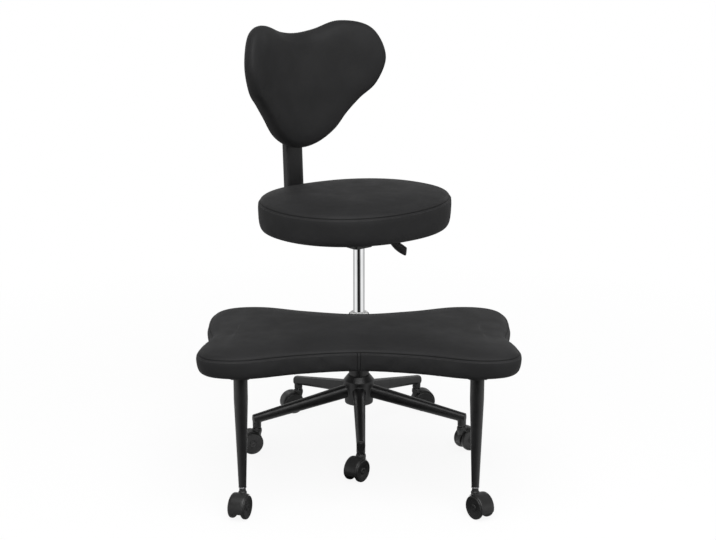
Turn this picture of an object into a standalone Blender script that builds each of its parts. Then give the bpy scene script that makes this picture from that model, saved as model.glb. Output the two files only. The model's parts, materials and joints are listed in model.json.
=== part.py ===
"""Cross-legged office chair, in metres, +Z up, standing on z = 0 and seen from the -Y side.

A round seat with a heart-shaped back stands on a gas lift and a five-arm base. A four-lobed footrest
on two legs turns round the column. All seven feet of the chair run on twin-wheel casters."""

import math

import bmesh
import bpy
import numpy as np
from mathutils import Matrix, Vector

# Fits
TOUCH_GAP = 0.0003
RUN_GAP = 0.0004

# Layout
COLUMN_Y = 0.1315
SEAT_TURN = math.radians(40)
BASE_TURN = math.radians(1)

# Casters: trail angles give the way each caster points, counted from +X
WHEEL_DIA = 0.054
WHEEL_WIDTH = 0.0125
WHEEL_EDGE = 0.0022
WHEEL_CAP_DIA = 0.016
WHEEL_RIM = 0.004
WHEEL_DISH = 0.0014
AXLE_DIA = 0.006
AXLE_IN_WHEEL = 0.0085
WEB_WIDTH = 0.0142
WEB_FOOT_DIA = 0.030
TRAIL = 0.017
HOOD_WIDTH = 0.026
HOOD_WALL = 0.0020
HOOD_CLEARANCE = 0.0012
HOOD_REAR_ANGLE = math.radians(-17)
HOOD_FRONT_ANGLE = math.radians(125)
WEB_FRONT_ANGLE = math.radians(192)
WEB_REAR_INSET = math.radians(6)
NECK_DIA = 0.0134
BASE_NECK = 0.0040
LEG_NECK = 0.0065
PIVOT_DIA = 0.0076
PIVOT_DEPTH = 0.022
STEM_DIA = 0.0106
STEM_LENGTH = 0.026
FLANGE_DIA = 0.0155
FLANGE_THICKNESS = 0.0008
BASE_CASTERS = {"front": -125, "front_right": 34, "back_right": 15, "back_left": -160, "front_left": -156}
LEG_CASTERS = {"leg_left": -108, "leg_right": -55}

# Five-arm base
BASE_RADIUS = 0.265
ARM_ROOT_WIDTH = 0.029
ARM_ROOT_HEIGHT = 0.031
ARM_TIP_WIDTH = 0.0196
ARM_TIP_HEIGHT = 0.021
ARM_RISE = 0.0455
ARM_END_INSET = 0.0025
SOCKET_DIA = 0.0212
SOCKET_ROUND = 0.003
SOCKET_STEP = 0.0006
SOCKET_DROP = 0.0125
HUB_DIA = 0.077
HUB_FOOT_DIA = 0.070
HUB_BELOW_ARMS = 0.033
HUB_ABOVE_ARMS = 0.026
HUB_CONE_HEIGHT = 0.014
HUB_LIP = 0.0015

# Gas lift
TUBE_DIA = 0.050
TUBE_FOOT_DIA = 0.0472
TUBE_WALL = 0.0018
TUBE_FLOOR = 0.004
TUBE_BELOW_HUB = 0.004
TUBE_TOP_Z = 0.3290
BUSH_FLANGE_DIA = 0.042
BUSH_FLANGE = 0.003
BUSH_LENGTH = 0.060
CYLINDER_DIA = 0.028
CYLINDER_BORE = 0.020
CYLINDER_HEAD = 0.022
ROD_DIA = 0.010
ROD_FLANGE_DIA = 0.018
ROD_FLANGE = 0.003
PISTON_LENGTH = 0.012
BEARING_DIA = 0.030
BEARING_HEIGHT = 0.006
STROKE_DOWN = 0.100
STROKE_UP = 0.020
STROKE_MARGIN = 0.010
BUTTON_DIA = 0.008
BUTTON_PROUD = 0.0075
BUTTON_LENGTH = 0.020

# Mechanism and lever, under the seat board
SEAT_Z = 0.5465
PLATE_LENGTH = 0.200
PLATE_WIDTH = 0.150
PLATE_THICKNESS = 0.003
PLATE_CORNER = 0.015
BOX_LENGTH = 0.066
BOX_WIDTH = 0.050
BOX_DEPTH = 0.041
BOX_WALL = 0.0025
BOX_CORNER = 0.0075
TAPER_WALL = 0.004
LEVER_HEIGHT = 0.010
LEVER_THICKNESS = 0.006
LEVER_HEADROOM = 0.0035
LEVER_PIVOT_X = 0.024
LEVER_INNER_REACH = 0.032
LEVER_REST_GAP = 0.001
LEVER_PIN_DIA = 0.0044
LEVER_SLOT_ROOM = 0.003
PADDLE_LENGTH = 0.062
PADDLE_WIDTH = 0.026
PADDLE_NECK_WIDTH = 0.014
PADDLE_TIP_WIDTH = 0.018
PADDLE_WALL = 0.002
PADDLE_THICKNESS = 0.0115
PADDLE_SOCKET = 0.016
LEVER_BEND = (0.052, 0.0)
LEVER_END = (0.110, -0.048)
LEVER_DROP = 0.0545

# Seat, whose middle lies behind the column
SEAT_OFFSET = 0.014
SEAT_HALF_WIDTH = 0.241
SEAT_HALF_DEPTH = 0.2135
SEAT_ROUNDNESS = 2.15
SEAT_BAND = 0.068
SEAT_CROWN = 0.0185
BOARD_THICKNESS = 0.012
BOARD_SHARE = 0.93
BOARD_ROOM = 0.004
UNDERSIDE_SHARE = 0.955

# Back: the heart's right half, from the notch round to the tip, in shares of its half width and height
BAR_SEAT_GAP = 0.0165
BAR_PLATE_GAP = 0.005
BAR_WIDTH = 0.054
BAR_DEPTH = 0.024
BAR_OVERLAP = 0.165
BACK_LEAN = math.radians(2.5)
BACK_Z = 0.713
BACK_HALF_WIDTH = 0.210
BACK_HEIGHT = 0.310
BACK_WRAP = 0.082
BACK_THICKNESS = 0.058
BACK_BOARD_THICKNESS = 0.010
HEART_MIDDLE = 0.55
HEART_TIP = (0.0, 0.0)
HEART_NOTCH = (0.0, 0.913)
HEART_HALF = [
    (0.27, 0.937),
    (0.58, 1.0),
    (0.87, 0.938),
    (1.0, 0.72),
    (0.895, 0.51),
    (0.717, 0.384),
    (0.565, 0.265),
    (0.415, 0.129),
    (0.22, 0.032),
]

# Footrest: its outline's right half, from back to front, in shares of its half width and half depth
FOOT_Z = 0.328
FOOT_CENTRE_Y = -0.316
FOOT_HALF_WIDTH = 0.3565
FOOT_HALF_DEPTH = 0.208
FOOT_BAND = 0.043
FOOT_CROWN = 0.015
FOOT_BACK = (0.0, 0.70)
FOOT_FRONT = (0.0, -0.73)
FOOT_HALF = [
    (0.39, 0.827),
    (0.735, 1.0),
    (0.945, 0.82),
    (0.972, 0.24),
    (0.936, -0.18),
    (0.983, -0.47),
    (0.995, -0.80),
    (0.911, -0.981),
    (0.70, -1.0),
    (0.377, -0.815),
]
LEG_INSET_X = 0.0982
LEG_INSET_Y = 0.039
LEG_TOP_DIA = 0.031
LEG_FOOT_DIA = 0.0170
LEG_STRAIGHT = 0.055
LEG_PLATE_DIA = 0.062
LEG_PLATE = 0.003
COLLAR_WALL = 0.005
COLLAR_HEIGHT = 0.040
COLLAR_DROP = 0.026
COLLAR_BUSH_WALL = 0.0026
STOP_HEIGHT = 0.012
STOP_WALL = 0.007
ARM_WIDTH = 0.060
ARM_THICKNESS = 0.006
ARM_LEAD = 0.018
ARM_STEP = 0.034
ARM_REACH = 0.230

# Faces round, and points round each pad's outline
ROUND = 28
SMALL_ROUND = 12
WHEEL_ROUND = 20
SEAT_POINTS = 52
HEART_POINTS = 60
FOOT_POINTS = 80

# Heights and places that follow from the sizes above
AXLE_Z = WHEEL_DIA / 2
HOOD_RADIUS = WHEEL_DIA / 2 + HOOD_CLEARANCE + HOOD_WALL
HOOD_TOP = AXLE_Z + HOOD_RADIUS
ARM_TIP_Z = HOOD_TOP + BASE_NECK + 2 * TOUCH_GAP + FLANGE_THICKNESS + SOCKET_DROP + ARM_TIP_HEIGHT / 2
ARM_ROOT_Z = ARM_TIP_Z + ARM_RISE
HUB_FOOT_Z = ARM_ROOT_Z - HUB_BELOW_ARMS
HUB_TOP_Z = ARM_ROOT_Z + HUB_ABOVE_ARMS + HUB_CONE_HEIGHT
TUBE_FOOT_Z = HUB_FOOT_Z - TUBE_BELOW_HUB
BEARING_Z = TUBE_FOOT_Z + TUBE_FLOOR + TOUCH_GAP
ROD_FLANGE_Z = BEARING_Z + BEARING_HEIGHT + TOUCH_GAP
CYLINDER_FOOT_Z = ROD_FLANGE_Z + ROD_FLANGE + STROKE_DOWN + STROKE_MARGIN
PLATE_TOP_Z = SEAT_Z - TOUCH_GAP
PLATE_FOOT_Z = PLATE_TOP_Z - PLATE_THICKNESS
BOX_FOOT_Z = PLATE_TOP_Z - BOX_DEPTH
LEVER_Z = PLATE_FOOT_Z - LEVER_HEADROOM - LEVER_HEIGHT / 2
BUTTON_TOP_Z = LEVER_Z - LEVER_HEIGHT / 2 - LEVER_REST_GAP
CYLINDER_TOP_Z = BUTTON_TOP_Z - BUTTON_PROUD
PISTON_TOP_Z = CYLINDER_TOP_Z - CYLINDER_HEAD - STROKE_DOWN - STROKE_MARGIN
GLAND_TOP_Z = PISTON_TOP_Z - PISTON_LENGTH - STROKE_UP - TOUCH_GAP
BAR_Z = SEAT_Z - TOUCH_GAP - BAR_DEPTH / 2
BAR_DISTANCE = SEAT_OFFSET + SEAT_HALF_DEPTH + BAR_SEAT_GAP + BAR_DEPTH / 2
BAR_BEND = BAR_DISTANCE - SEAT_OFFSET - UNDERSIDE_SHARE * SEAT_HALF_DEPTH
BAR_RISE_Z = BAR_Z + BAR_BEND
BAR_INNER_Y = PLATE_WIDTH / 2 + BAR_PLATE_GAP
FOOT_ARM_TOP_Z = FOOT_Z - TOUCH_GAP
COLLAR_TOP_Z = FOOT_ARM_TOP_Z - COLLAR_DROP
COLLAR_FOOT_Z = COLLAR_TOP_Z - COLLAR_HEIGHT
FOOT_ARM_START_Y = FOOT_CENTRE_Y + FOOT_BACK[1] * FOOT_HALF_DEPTH + ARM_LEAD
LEG_X = FOOT_HALF_WIDTH - LEG_INSET_X
LEG_Y = FOOT_CENTRE_Y - FOOT_HALF_DEPTH + LEG_INSET_Y


def material(name, colour, roughness, metallic=0.0):
    made = bpy.data.materials.new(name)
    made.use_nodes = True
    shader = made.node_tree.nodes["Principled BSDF"]
    shader.inputs["Base Color"].default_value = (*colour, 1.0)
    shader.inputs["Roughness"].default_value = roughness
    shader.inputs["Metallic"].default_value = metallic
    return made


def empty(name, parent=None, location=(0, 0, 0), turn=0.0):
    frame = bpy.data.objects.new(name, None)
    bpy.context.scene.collection.objects.link(frame)
    frame.parent = parent
    frame.location = location
    frame.rotation_euler = (0, 0, turn)
    return frame


def mesh_from(bm, name):
    """A mesh with its faces out, shaded smooth where they meet gently."""
    bmesh.ops.remove_doubles(bm, verts=bm.verts, dist=1e-6)
    bmesh.ops.recalc_face_normals(bm, faces=bm.faces)
    mesh = bpy.data.meshes.new(name)
    bm.to_mesh(mesh)
    bm.free()
    mesh.shade_smooth()
    mesh.set_sharp_from_angle(angle=math.radians(35))
    return mesh


def piece(name, mesh, paint, parent, location=(0, 0, 0), rotation=(0, 0, 0)):
    made = bpy.data.objects.new(name, mesh)
    bpy.context.scene.collection.objects.link(made)
    mesh.materials.clear()
    mesh.materials.append(paint)
    made.parent = parent
    made.location = location
    made.rotation_euler = rotation
    return made


def helper(name, mesh, parent, location=(0, 0, 0), rotation=(0, 0, 0)):
    """A shape that is only added to or cut from a piece."""
    made = bpy.data.objects.new(name, mesh)
    bpy.context.scene.collection.objects.link(made)
    made.parent = parent
    made.location = location
    made.rotation_euler = rotation
    made.hide_render = True
    made.display_type = "WIRE"
    return made


def combine(target, operation, *tools):
    for tool in tools:
        step = target.modifiers.new(f"{operation.lower()}_{tool.name}", "BOOLEAN")
        step.operation = operation
        step.object = tool


def baked(target, name):
    """The target's mesh with its modifiers applied, to share between copies."""
    bpy.context.view_layer.update()
    graph = bpy.context.evaluated_depsgraph_get()
    mesh = bpy.data.meshes.new_from_object(target.evaluated_get(graph))
    mesh.name = name
    return mesh


def revolve(profile, steps, name):
    """Turns (radius, z) points about Z. A profile that starts off the axis is a closed loop."""
    bm = bmesh.new()
    verts = [bm.verts.new((radius, 0, z)) for radius, z in profile]
    edges = [bm.edges.new(pair) for pair in zip(verts, verts[1:])]
    if profile[0][0] > 0:
        edges.append(bm.edges.new((verts[-1], verts[0])))
    bmesh.ops.spin(
        bm, geom=verts + edges, cent=(0, 0, 0), axis=(0, 0, 1), angle=math.tau, steps=steps, use_merge=True
    )
    return mesh_from(bm, name)


def tube(outer, inner, low, high, steps, name):
    return revolve([(inner, low), (inner, high), (outer, high), (outer, low)], steps, name)


def rod(radius, low, high, steps, name):
    return revolve([(0, low), (radius, low), (radius, high), (0, high)], steps, name)


def prism(outline, low, high, name, turn=None):
    """Extrudes an (x, y) outline from z = low to high, then turns it if asked."""
    bm = bmesh.new()
    face = bm.faces.new([bm.verts.new((x, y, low)) for x, y in outline])
    grown = bmesh.ops.extrude_face_region(bm, geom=[face])["geom"]
    moved = [v for v in grown if isinstance(v, bmesh.types.BMVert)]
    bmesh.ops.translate(bm, verts=moved, vec=(0, 0, high - low))
    if turn is not None:
        bmesh.ops.transform(bm, matrix=turn, verts=bm.verts)
    return mesh_from(bm, name)


def loft(rings, name):
    """Skins a row of rings with the same number of points and closes both ends."""
    bm = bmesh.new()
    loops = [[bm.verts.new(point) for point in ring] for ring in rings]
    for lower, upper in zip(loops, loops[1:]):
        for i in range(len(lower)):
            bm.faces.new((lower[i - 1], lower[i], upper[i], upper[i - 1]))
    bm.faces.new(loops[0])
    bm.faces.new(loops[-1])
    return mesh_from(bm, name)


def pad(outline, rings, place, name):
    """Skins scaled copies of an outline, each at its height, and closes both ends on their middle."""
    bm = bmesh.new()
    loops = [[bm.verts.new(place(x * share, y * share, h)) for x, y in outline] for share, h in rings]
    for lower, upper in zip(loops, loops[1:]):
        for i in range(len(lower)):
            bm.faces.new((lower[i - 1], lower[i], upper[i], upper[i - 1]))
    for loop, (_, height) in ((loops[0], rings[0]), (loops[-1], rings[-1])):
        middle = bm.verts.new(place(0, 0, height))
        for i in range(len(loop)):
            bm.faces.new((loop[i - 1], loop[i], middle))
    return mesh_from(bm, name)


def arc(centre, radius, start, end, steps):
    angles = np.linspace(start, end, steps + 1)
    return [(centre[0] + radius * math.cos(a), centre[1] + radius * math.sin(a)) for a in angles]


def box_outline(length, width, corner):
    """A rectangle about the origin with rounded corners."""
    points = []
    for quarter, (sx, sy) in enumerate(((1, 1), (-1, 1), (-1, -1), (1, -1))):
        middle = (sx * (length / 2 - corner), sy * (width / 2 - corner))
        points += arc(middle, corner, quarter * math.pi / 2, (quarter + 1) * math.pi / 2, 3)
    return points


def superellipse(half_width, half_depth, power, count):
    points = []
    for i in range(count):
        c, s = math.cos(math.tau * i / count), math.sin(math.tau * i / count)
        x = half_width * math.copysign(abs(c) ** (2 / power), c)
        y = half_depth * math.copysign(abs(s) ** (2 / power), s)
        points.append((x, y))
    return points


def smooth_loop(knots, count):
    """Evenly spaced points on a smooth closed curve through the knots."""
    knots = np.array(knots)
    before, after, next_after = (np.roll(knots, -step, axis=0) for step in (-1, 1, 2))
    dense = []
    for t in np.linspace(0, 1, 40, endpoint=False):
        bend = 2 * before - 5 * knots + 4 * after - next_after
        twist = 3 * (knots - after) + next_after - before
        dense.append(knots + 0.5 * t * (after - before + t * (bend + t * twist)))
    dense = np.stack(dense, axis=1).reshape(-1, 2)
    dense = np.vstack([dense, dense[:1]])
    along = np.concatenate([[0], np.cumsum(np.linalg.norm(np.diff(dense, axis=0), axis=1))])
    wanted = np.linspace(0, along[-1], count, endpoint=False)
    return list(zip(np.interp(wanted, along, dense[:, 0]), np.interp(wanted, along, dense[:, 1])))


def mirrored_loop(first, half, last, count):
    left = [(-x, y) for x, y in reversed(half)]
    return smooth_loop([first, *half, last, *left], count)


def place_on_circle(radius, angle):
    return Vector((radius * math.cos(angle), radius * math.sin(angle), 0))


# Casters


def wheel_mesh():
    """One wheel, its axis along Z, its inner face at z = 0 and its dished outer face up."""
    radius = WHEEL_DIA / 2
    rim = radius - WHEEL_EDGE
    cap = WHEEL_CAP_DIA / 2
    bore = AXLE_DIA / 2 + RUN_GAP
    depth = AXLE_IN_WHEEL + TOUCH_GAP
    floor = WHEEL_WIDTH - WHEEL_DISH
    profile = [
        (0, WHEEL_WIDTH),
        (cap, WHEEL_WIDTH),
        (cap + WHEEL_DISH, floor),
        (rim - WHEEL_RIM, floor),
        (rim - WHEEL_RIM / 2, WHEEL_WIDTH),
        (rim, WHEEL_WIDTH),
        (radius, WHEEL_WIDTH - WHEEL_EDGE),
        (radius, 0),
        (bore, 0),
        (bore, depth),
        (0, depth),
    ]
    return revolve(profile, WHEEL_ROUND, "wheel")


def hood_mesh(neck_height, name):
    """The hood over both wheels, its web between them and the neck that turns on the stem."""
    to_side = Matrix.Rotation(math.pi / 2, 4, "X")
    axle = (TRAIL, AXLE_Z)
    outer = arc(axle, HOOD_RADIUS, HOOD_REAR_ANGLE, HOOD_FRONT_ANGLE, 10)
    inner = arc(axle, HOOD_RADIUS - HOOD_WALL, HOOD_FRONT_ANGLE, HOOD_REAR_ANGLE, 10)
    web_radius = HOOD_RADIUS - HOOD_WALL / 2
    web_top = arc(axle, web_radius, HOOD_REAR_ANGLE + WEB_REAR_INSET, WEB_FRONT_ANGLE, 12)
    web_foot = arc(axle, WEB_FOOT_DIA / 2, math.radians(215), math.radians(325), 4)
    hood = helper(name, prism(outer + inner, -HOOD_WIDTH / 2, HOOD_WIDTH / 2, name, to_side), None)
    web_mesh = prism(web_top + web_foot, -WEB_WIDTH / 2, WEB_WIDTH / 2, "web", to_side)
    web = helper(name + "_web", web_mesh, None)
    neck_top = HOOD_TOP + neck_height
    neck = helper(name + "_neck", rod(NECK_DIA / 2, AXLE_Z + AXLE_DIA, neck_top, SMALL_ROUND, "neck"), None)
    bore_floor = neck_top - PIVOT_DEPTH - neck_height
    bore = rod(PIVOT_DIA / 2 + RUN_GAP, bore_floor, neck_top + NECK_DIA, SMALL_ROUND, "neck_bore")
    hole = rod(AXLE_DIA / 2 + TOUCH_GAP, -HOOD_WIDTH, HOOD_WIDTH, SMALL_ROUND, "axle_hole")
    bores = (
        helper(name + "_bore", bore, None, (0, 0, 0), (0, 0, math.pi / SMALL_ROUND)),
        helper(name + "_hole", hole, None, (TRAIL, 0, AXLE_Z), (math.pi / 2, 0, 0)),
    )
    combine(hood, "UNION", web, neck)
    combine(hood, "DIFFERENCE", *bores)
    return baked(hood, name + "_whole")


def stem_mesh(neck_height, name):
    """Pivot below, thin flange, and the plug that is pressed into the socket."""
    neck_top = HOOD_TOP + neck_height
    flange_foot = neck_top + TOUCH_GAP
    flange_top = flange_foot + FLANGE_THICKNESS
    pivot, plug, flange = PIVOT_DIA / 2, STEM_DIA / 2, FLANGE_DIA / 2
    profile = [
        (0, HOOD_TOP - PIVOT_DEPTH + TOUCH_GAP),
        (pivot, HOOD_TOP - PIVOT_DEPTH + TOUCH_GAP),
        (pivot, flange_foot),
        (flange, flange_foot),
        (flange, flange_top),
        (plug, flange_top),
        (plug, flange_top + STEM_LENGTH - plug / 2),
        (plug / 2, flange_top + STEM_LENGTH),
        (0, flange_top + STEM_LENGTH),
    ]
    return revolve(profile, SMALL_ROUND, name)


def socket_z(neck_height):
    return HOOD_TOP + neck_height + 2 * TOUCH_GAP + FLANGE_THICKNESS


def socket_bore(neck_height, name):
    low = socket_z(neck_height)
    high = low + STEM_LENGTH
    return rod(STEM_DIA / 2 + TOUCH_GAP, low - SOCKET_DROP, high, SMALL_ROUND, name)


def casters(column, names, spots, neck_height, paints):
    """Casters at the given spots, all with the same neck. Each has an empty on its swivel axis."""
    hood = hood_mesh(neck_height, f"hood_{names[0][0]}")
    stem = stem_mesh(neck_height, "stem")
    wheel = wheel_mesh()
    axle_half = WEB_WIDTH / 2 + RUN_GAP + AXLE_IN_WHEEL
    axle = rod(AXLE_DIA / 2, -axle_half, axle_half, SMALL_ROUND, "axle")
    for (name, angle), spot in zip(names, spots):
        swivel = empty(f"swivel_{name}", column, spot, math.radians(angle))
        piece(f"caster_{name}_hood", hood, paints["hood"], swivel)
        piece(f"caster_{name}_stem", stem, paints["stem"], swivel)
        middle = (TRAIL, 0, AXLE_Z)
        piece(f"caster_{name}_axle", axle, paints["stem"], swivel, middle, (math.pi / 2, 0, 0))
        for side, letter in ((-1, "a"), (1, "b")):
            inner_face = side * (WEB_WIDTH / 2 + RUN_GAP)
            place, turn = (TRAIL, inner_face, AXLE_Z), (-side * math.pi / 2, 0, 0)
            piece(f"caster_{name}_wheel_{letter}", wheel, paints["wheel"], swivel, place, turn)


# Five-arm base


def arm_mesh():
    """A tapered arm along +X, from inside the hub's wall to inside the socket."""
    start = (HUB_FOOT_DIA + TUBE_DIA) / 4
    rings = []
    for x, z, width, height in (
        (start, ARM_ROOT_Z, ARM_ROOT_WIDTH, ARM_ROOT_HEIGHT),
        (BASE_RADIUS - ARM_END_INSET, ARM_TIP_Z, ARM_TIP_WIDTH, ARM_TIP_HEIGHT),
    ):
        rings.append([(x, y, z + dz) for y, dz in superellipse(width / 2, height / 2, 4, 16)])
    return loft(rings, "arm")


def star_base(frame, angles, paint):
    foot, bore_gap = HUB_FOOT_DIA / 2, TOUCH_GAP / math.cos(math.pi / ROUND) + TOUCH_GAP
    shoulder_z = HUB_TOP_Z - HUB_CONE_HEIGHT
    profile = [
        (TUBE_FOOT_DIA / 2 + bore_gap, HUB_FOOT_Z),
        (TUBE_DIA / 2 + bore_gap, HUB_TOP_Z),
        (TUBE_DIA / 2 + bore_gap + HUB_LIP, HUB_TOP_Z),
        (HUB_DIA / 2, shoulder_z),
        (HUB_DIA / 2, shoulder_z - HUB_CONE_HEIGHT / 2),
        (foot, HUB_FOOT_Z),
    ]
    base = piece("star_base", revolve(profile, ROUND, "hub"), paint, frame)
    low, high = socket_z(BASE_NECK), ARM_TIP_Z + ARM_TIP_HEIGHT / 2 + SOCKET_STEP
    radius = SOCKET_DIA / 2
    edge = [(radius, high - SOCKET_ROUND), (radius - SOCKET_ROUND, high)]
    post = [(0, low), (radius, low), *edge, (0, high)]
    for number, angle in enumerate(angles):
        spot = place_on_circle(BASE_RADIUS, angle)
        arm = helper(f"arm_{number}", arm_mesh(), frame, (0, 0, 0), (0, 0, angle))
        half_face = (0, 0, angle + math.pi / WHEEL_ROUND)
        socket = helper(f"socket_{number}", revolve(post, WHEEL_ROUND, "socket"), frame, spot, half_face)
        bore_mesh = socket_bore(BASE_NECK, "socket_bore")
        bore = helper(f"socket_bore_{number}", bore_mesh, frame, spot, (0, 0, angle))
        combine(base, "UNION", arm, socket)
        combine(base, "DIFFERENCE", bore)


# Gas lift


def stand_tube(frame, paint):
    """Outer tube, tapered where it sits in the hub, with a floor that the rod passes through."""
    outer, foot = TUBE_DIA / 2, TUBE_FOOT_DIA / 2
    hole = ROD_DIA / 2 + RUN_GAP
    profile = [
        (foot, TUBE_FOOT_Z),
        (outer, HUB_TOP_Z),
        (outer, TUBE_TOP_Z),
        (outer - TUBE_WALL, TUBE_TOP_Z),
        (outer - TUBE_WALL, HUB_TOP_Z),
        (foot - TUBE_WALL, TUBE_FOOT_Z + TUBE_FLOOR),
        (hole, TUBE_FOOT_Z + TUBE_FLOOR),
        (hole, TUBE_FOOT_Z),
    ]
    return piece("stand_tube", revolve(profile, ROUND, "stand_tube"), paint, frame)


def guide_bush(frame, paint):
    inner = CYLINDER_DIA / 2 + RUN_GAP
    body = TUBE_DIA / 2 - TUBE_WALL - RUN_GAP
    flange_z = TUBE_TOP_Z + TOUCH_GAP
    flange_top = flange_z + BUSH_FLANGE
    profile = [
        (inner, flange_top - BUSH_LENGTH),
        (inner, flange_top),
        (BUSH_FLANGE_DIA / 2, flange_top),
        (BUSH_FLANGE_DIA / 2 + BUSH_FLANGE / 2, flange_z),
        (body, flange_z),
        (body, flange_top - BUSH_LENGTH),
    ]
    return piece("guide_bush", revolve(profile, ROUND, "guide_bush"), paint, frame)


def gas_rod(frame, paints):
    """Piston rod with its flange on the thrust bearing, which turns on the tube's floor."""
    radius, flange = ROD_DIA / 2, ROD_FLANGE_DIA / 2
    piston = CYLINDER_BORE / 2 - RUN_GAP
    profile = [
        (0, TUBE_FOOT_Z),
        (radius, TUBE_FOOT_Z),
        (radius, ROD_FLANGE_Z),
        (flange, ROD_FLANGE_Z),
        (flange, ROD_FLANGE_Z + ROD_FLANGE),
        (radius, ROD_FLANGE_Z + ROD_FLANGE),
        (radius, PISTON_TOP_Z - PISTON_LENGTH),
        (piston, PISTON_TOP_Z - PISTON_LENGTH),
        (piston, PISTON_TOP_Z),
        (0, PISTON_TOP_Z),
    ]
    piece("gas_rod", revolve(profile, SMALL_ROUND, "gas_rod"), paints["chrome"], frame)
    inner, top = ROD_DIA / 2 + RUN_GAP, BEARING_Z + BEARING_HEIGHT
    bearing = tube(BEARING_DIA / 2, inner, BEARING_Z, top, SMALL_ROUND, "thrust_bearing")
    piece("thrust_bearing", bearing, paints["steel"], frame)


def gas_cylinder(frame, paints):
    """Chrome cylinder: long gland that stops the piston, bore, head with the button's guide."""
    outer, bore = CYLINDER_DIA / 2, CYLINDER_BORE / 2
    gland = ROD_DIA / 2 + RUN_GAP
    guide = BUTTON_DIA / 2 + RUN_GAP
    head_z = CYLINDER_TOP_Z - CYLINDER_HEAD
    profile = [
        (gland, CYLINDER_FOOT_Z),
        (gland, GLAND_TOP_Z),
        (bore, GLAND_TOP_Z),
        (bore, head_z),
        (guide, head_z),
        (guide, CYLINDER_TOP_Z),
        (outer, CYLINDER_TOP_Z),
        (outer, CYLINDER_FOOT_Z),
    ]
    piece("gas_cylinder", revolve(profile, ROUND, "gas_cylinder"), paints["chrome"], frame)
    button = rod(BUTTON_DIA / 2, BUTTON_TOP_Z - BUTTON_LENGTH, BUTTON_TOP_Z, SMALL_ROUND, "valve_button")
    piece("valve_button", button, paints["steel"], frame)


# Mechanism under the seat


def seat_plate(frame, paint):
    """Pressed plate with a box below it, the taper socket in the box and a slot for the lever."""
    outline = box_outline(PLATE_LENGTH, PLATE_WIDTH, PLATE_CORNER)
    plate = piece("seat_plate", prism(outline, PLATE_FOOT_Z, PLATE_TOP_Z, "plate"), paint, frame)
    box = box_outline(BOX_LENGTH, BOX_WIDTH, BOX_CORNER)
    room = box_outline(BOX_LENGTH - 2 * BOX_WALL, BOX_WIDTH - 2 * BOX_WALL, BOX_CORNER - BOX_WALL)
    floor_z = BOX_FOOT_Z + BOX_WALL
    box_part = helper("box", prism(box, BOX_FOOT_Z, PLATE_FOOT_Z + PLATE_THICKNESS / 2, "box"), frame)
    room_cut = helper("box_room", prism(room, floor_z, PLATE_FOOT_Z, "room"), frame)
    bore = CYLINDER_DIA / 2 + TOUCH_GAP / math.cos(math.pi / ROUND) + TOUCH_GAP
    socket_top = CYLINDER_TOP_Z - BUTTON_PROUD / 2
    taper_mesh = rod(bore + TAPER_WALL, BOX_FOOT_Z + BOX_WALL / 2, socket_top, ROUND, "taper")
    taper = helper("taper", taper_mesh, frame)
    bore_mesh = rod(bore, BOX_FOOT_Z - BOX_DEPTH, socket_top + BOX_WALL, ROUND, "taper_bore")
    bore_cut = helper("taper_bore", bore_mesh, frame, (0, 0, 0), (0, 0, math.pi / ROUND))
    slot_width = LEVER_THICKNESS + 2 * LEVER_SLOT_ROOM
    slot = box_outline(BOX_WALL * 4, slot_width, LEVER_SLOT_ROOM / 2)
    slot_low = LEVER_Z - LEVER_HEIGHT / 2 - LEVER_SLOT_ROOM
    slot_mesh = prism(slot, slot_low, PLATE_FOOT_Z - TOUCH_GAP, "slot")
    slot_cut = helper("lever_slot", slot_mesh, frame, (BOX_LENGTH / 2, 0, 0))
    pin_hole = rod(LEVER_PIN_DIA / 2 + TOUCH_GAP, -BOX_WIDTH, BOX_WIDTH, SMALL_ROUND, "pin_hole")
    pin_cut = helper("pin_hole", pin_hole, frame, (LEVER_PIVOT_X, 0, LEVER_Z), (math.pi / 2, 0, 0))
    combine(plate, "UNION", box_part)
    combine(plate, "DIFFERENCE", room_cut)
    combine(plate, "UNION", taper)
    combine(plate, "DIFFERENCE", bore_cut, slot_cut, pin_cut)


def bar_rings(path, width, height):
    """Upright rectangles across a path of (x, y, z) points, square to it in plan."""
    rings = []
    for i, point in enumerate(path):
        ahead = path[min(i + 1, len(path) - 1)] - path[max(i - 1, 0)]
        across = Vector((-ahead.y, ahead.x, 0)).normalized() * width / 2
        up = Vector((0, 0, height / 2))
        rings.append([point + across + up, point - across + up, point - across - up, point + across - up])
    return rings


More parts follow.
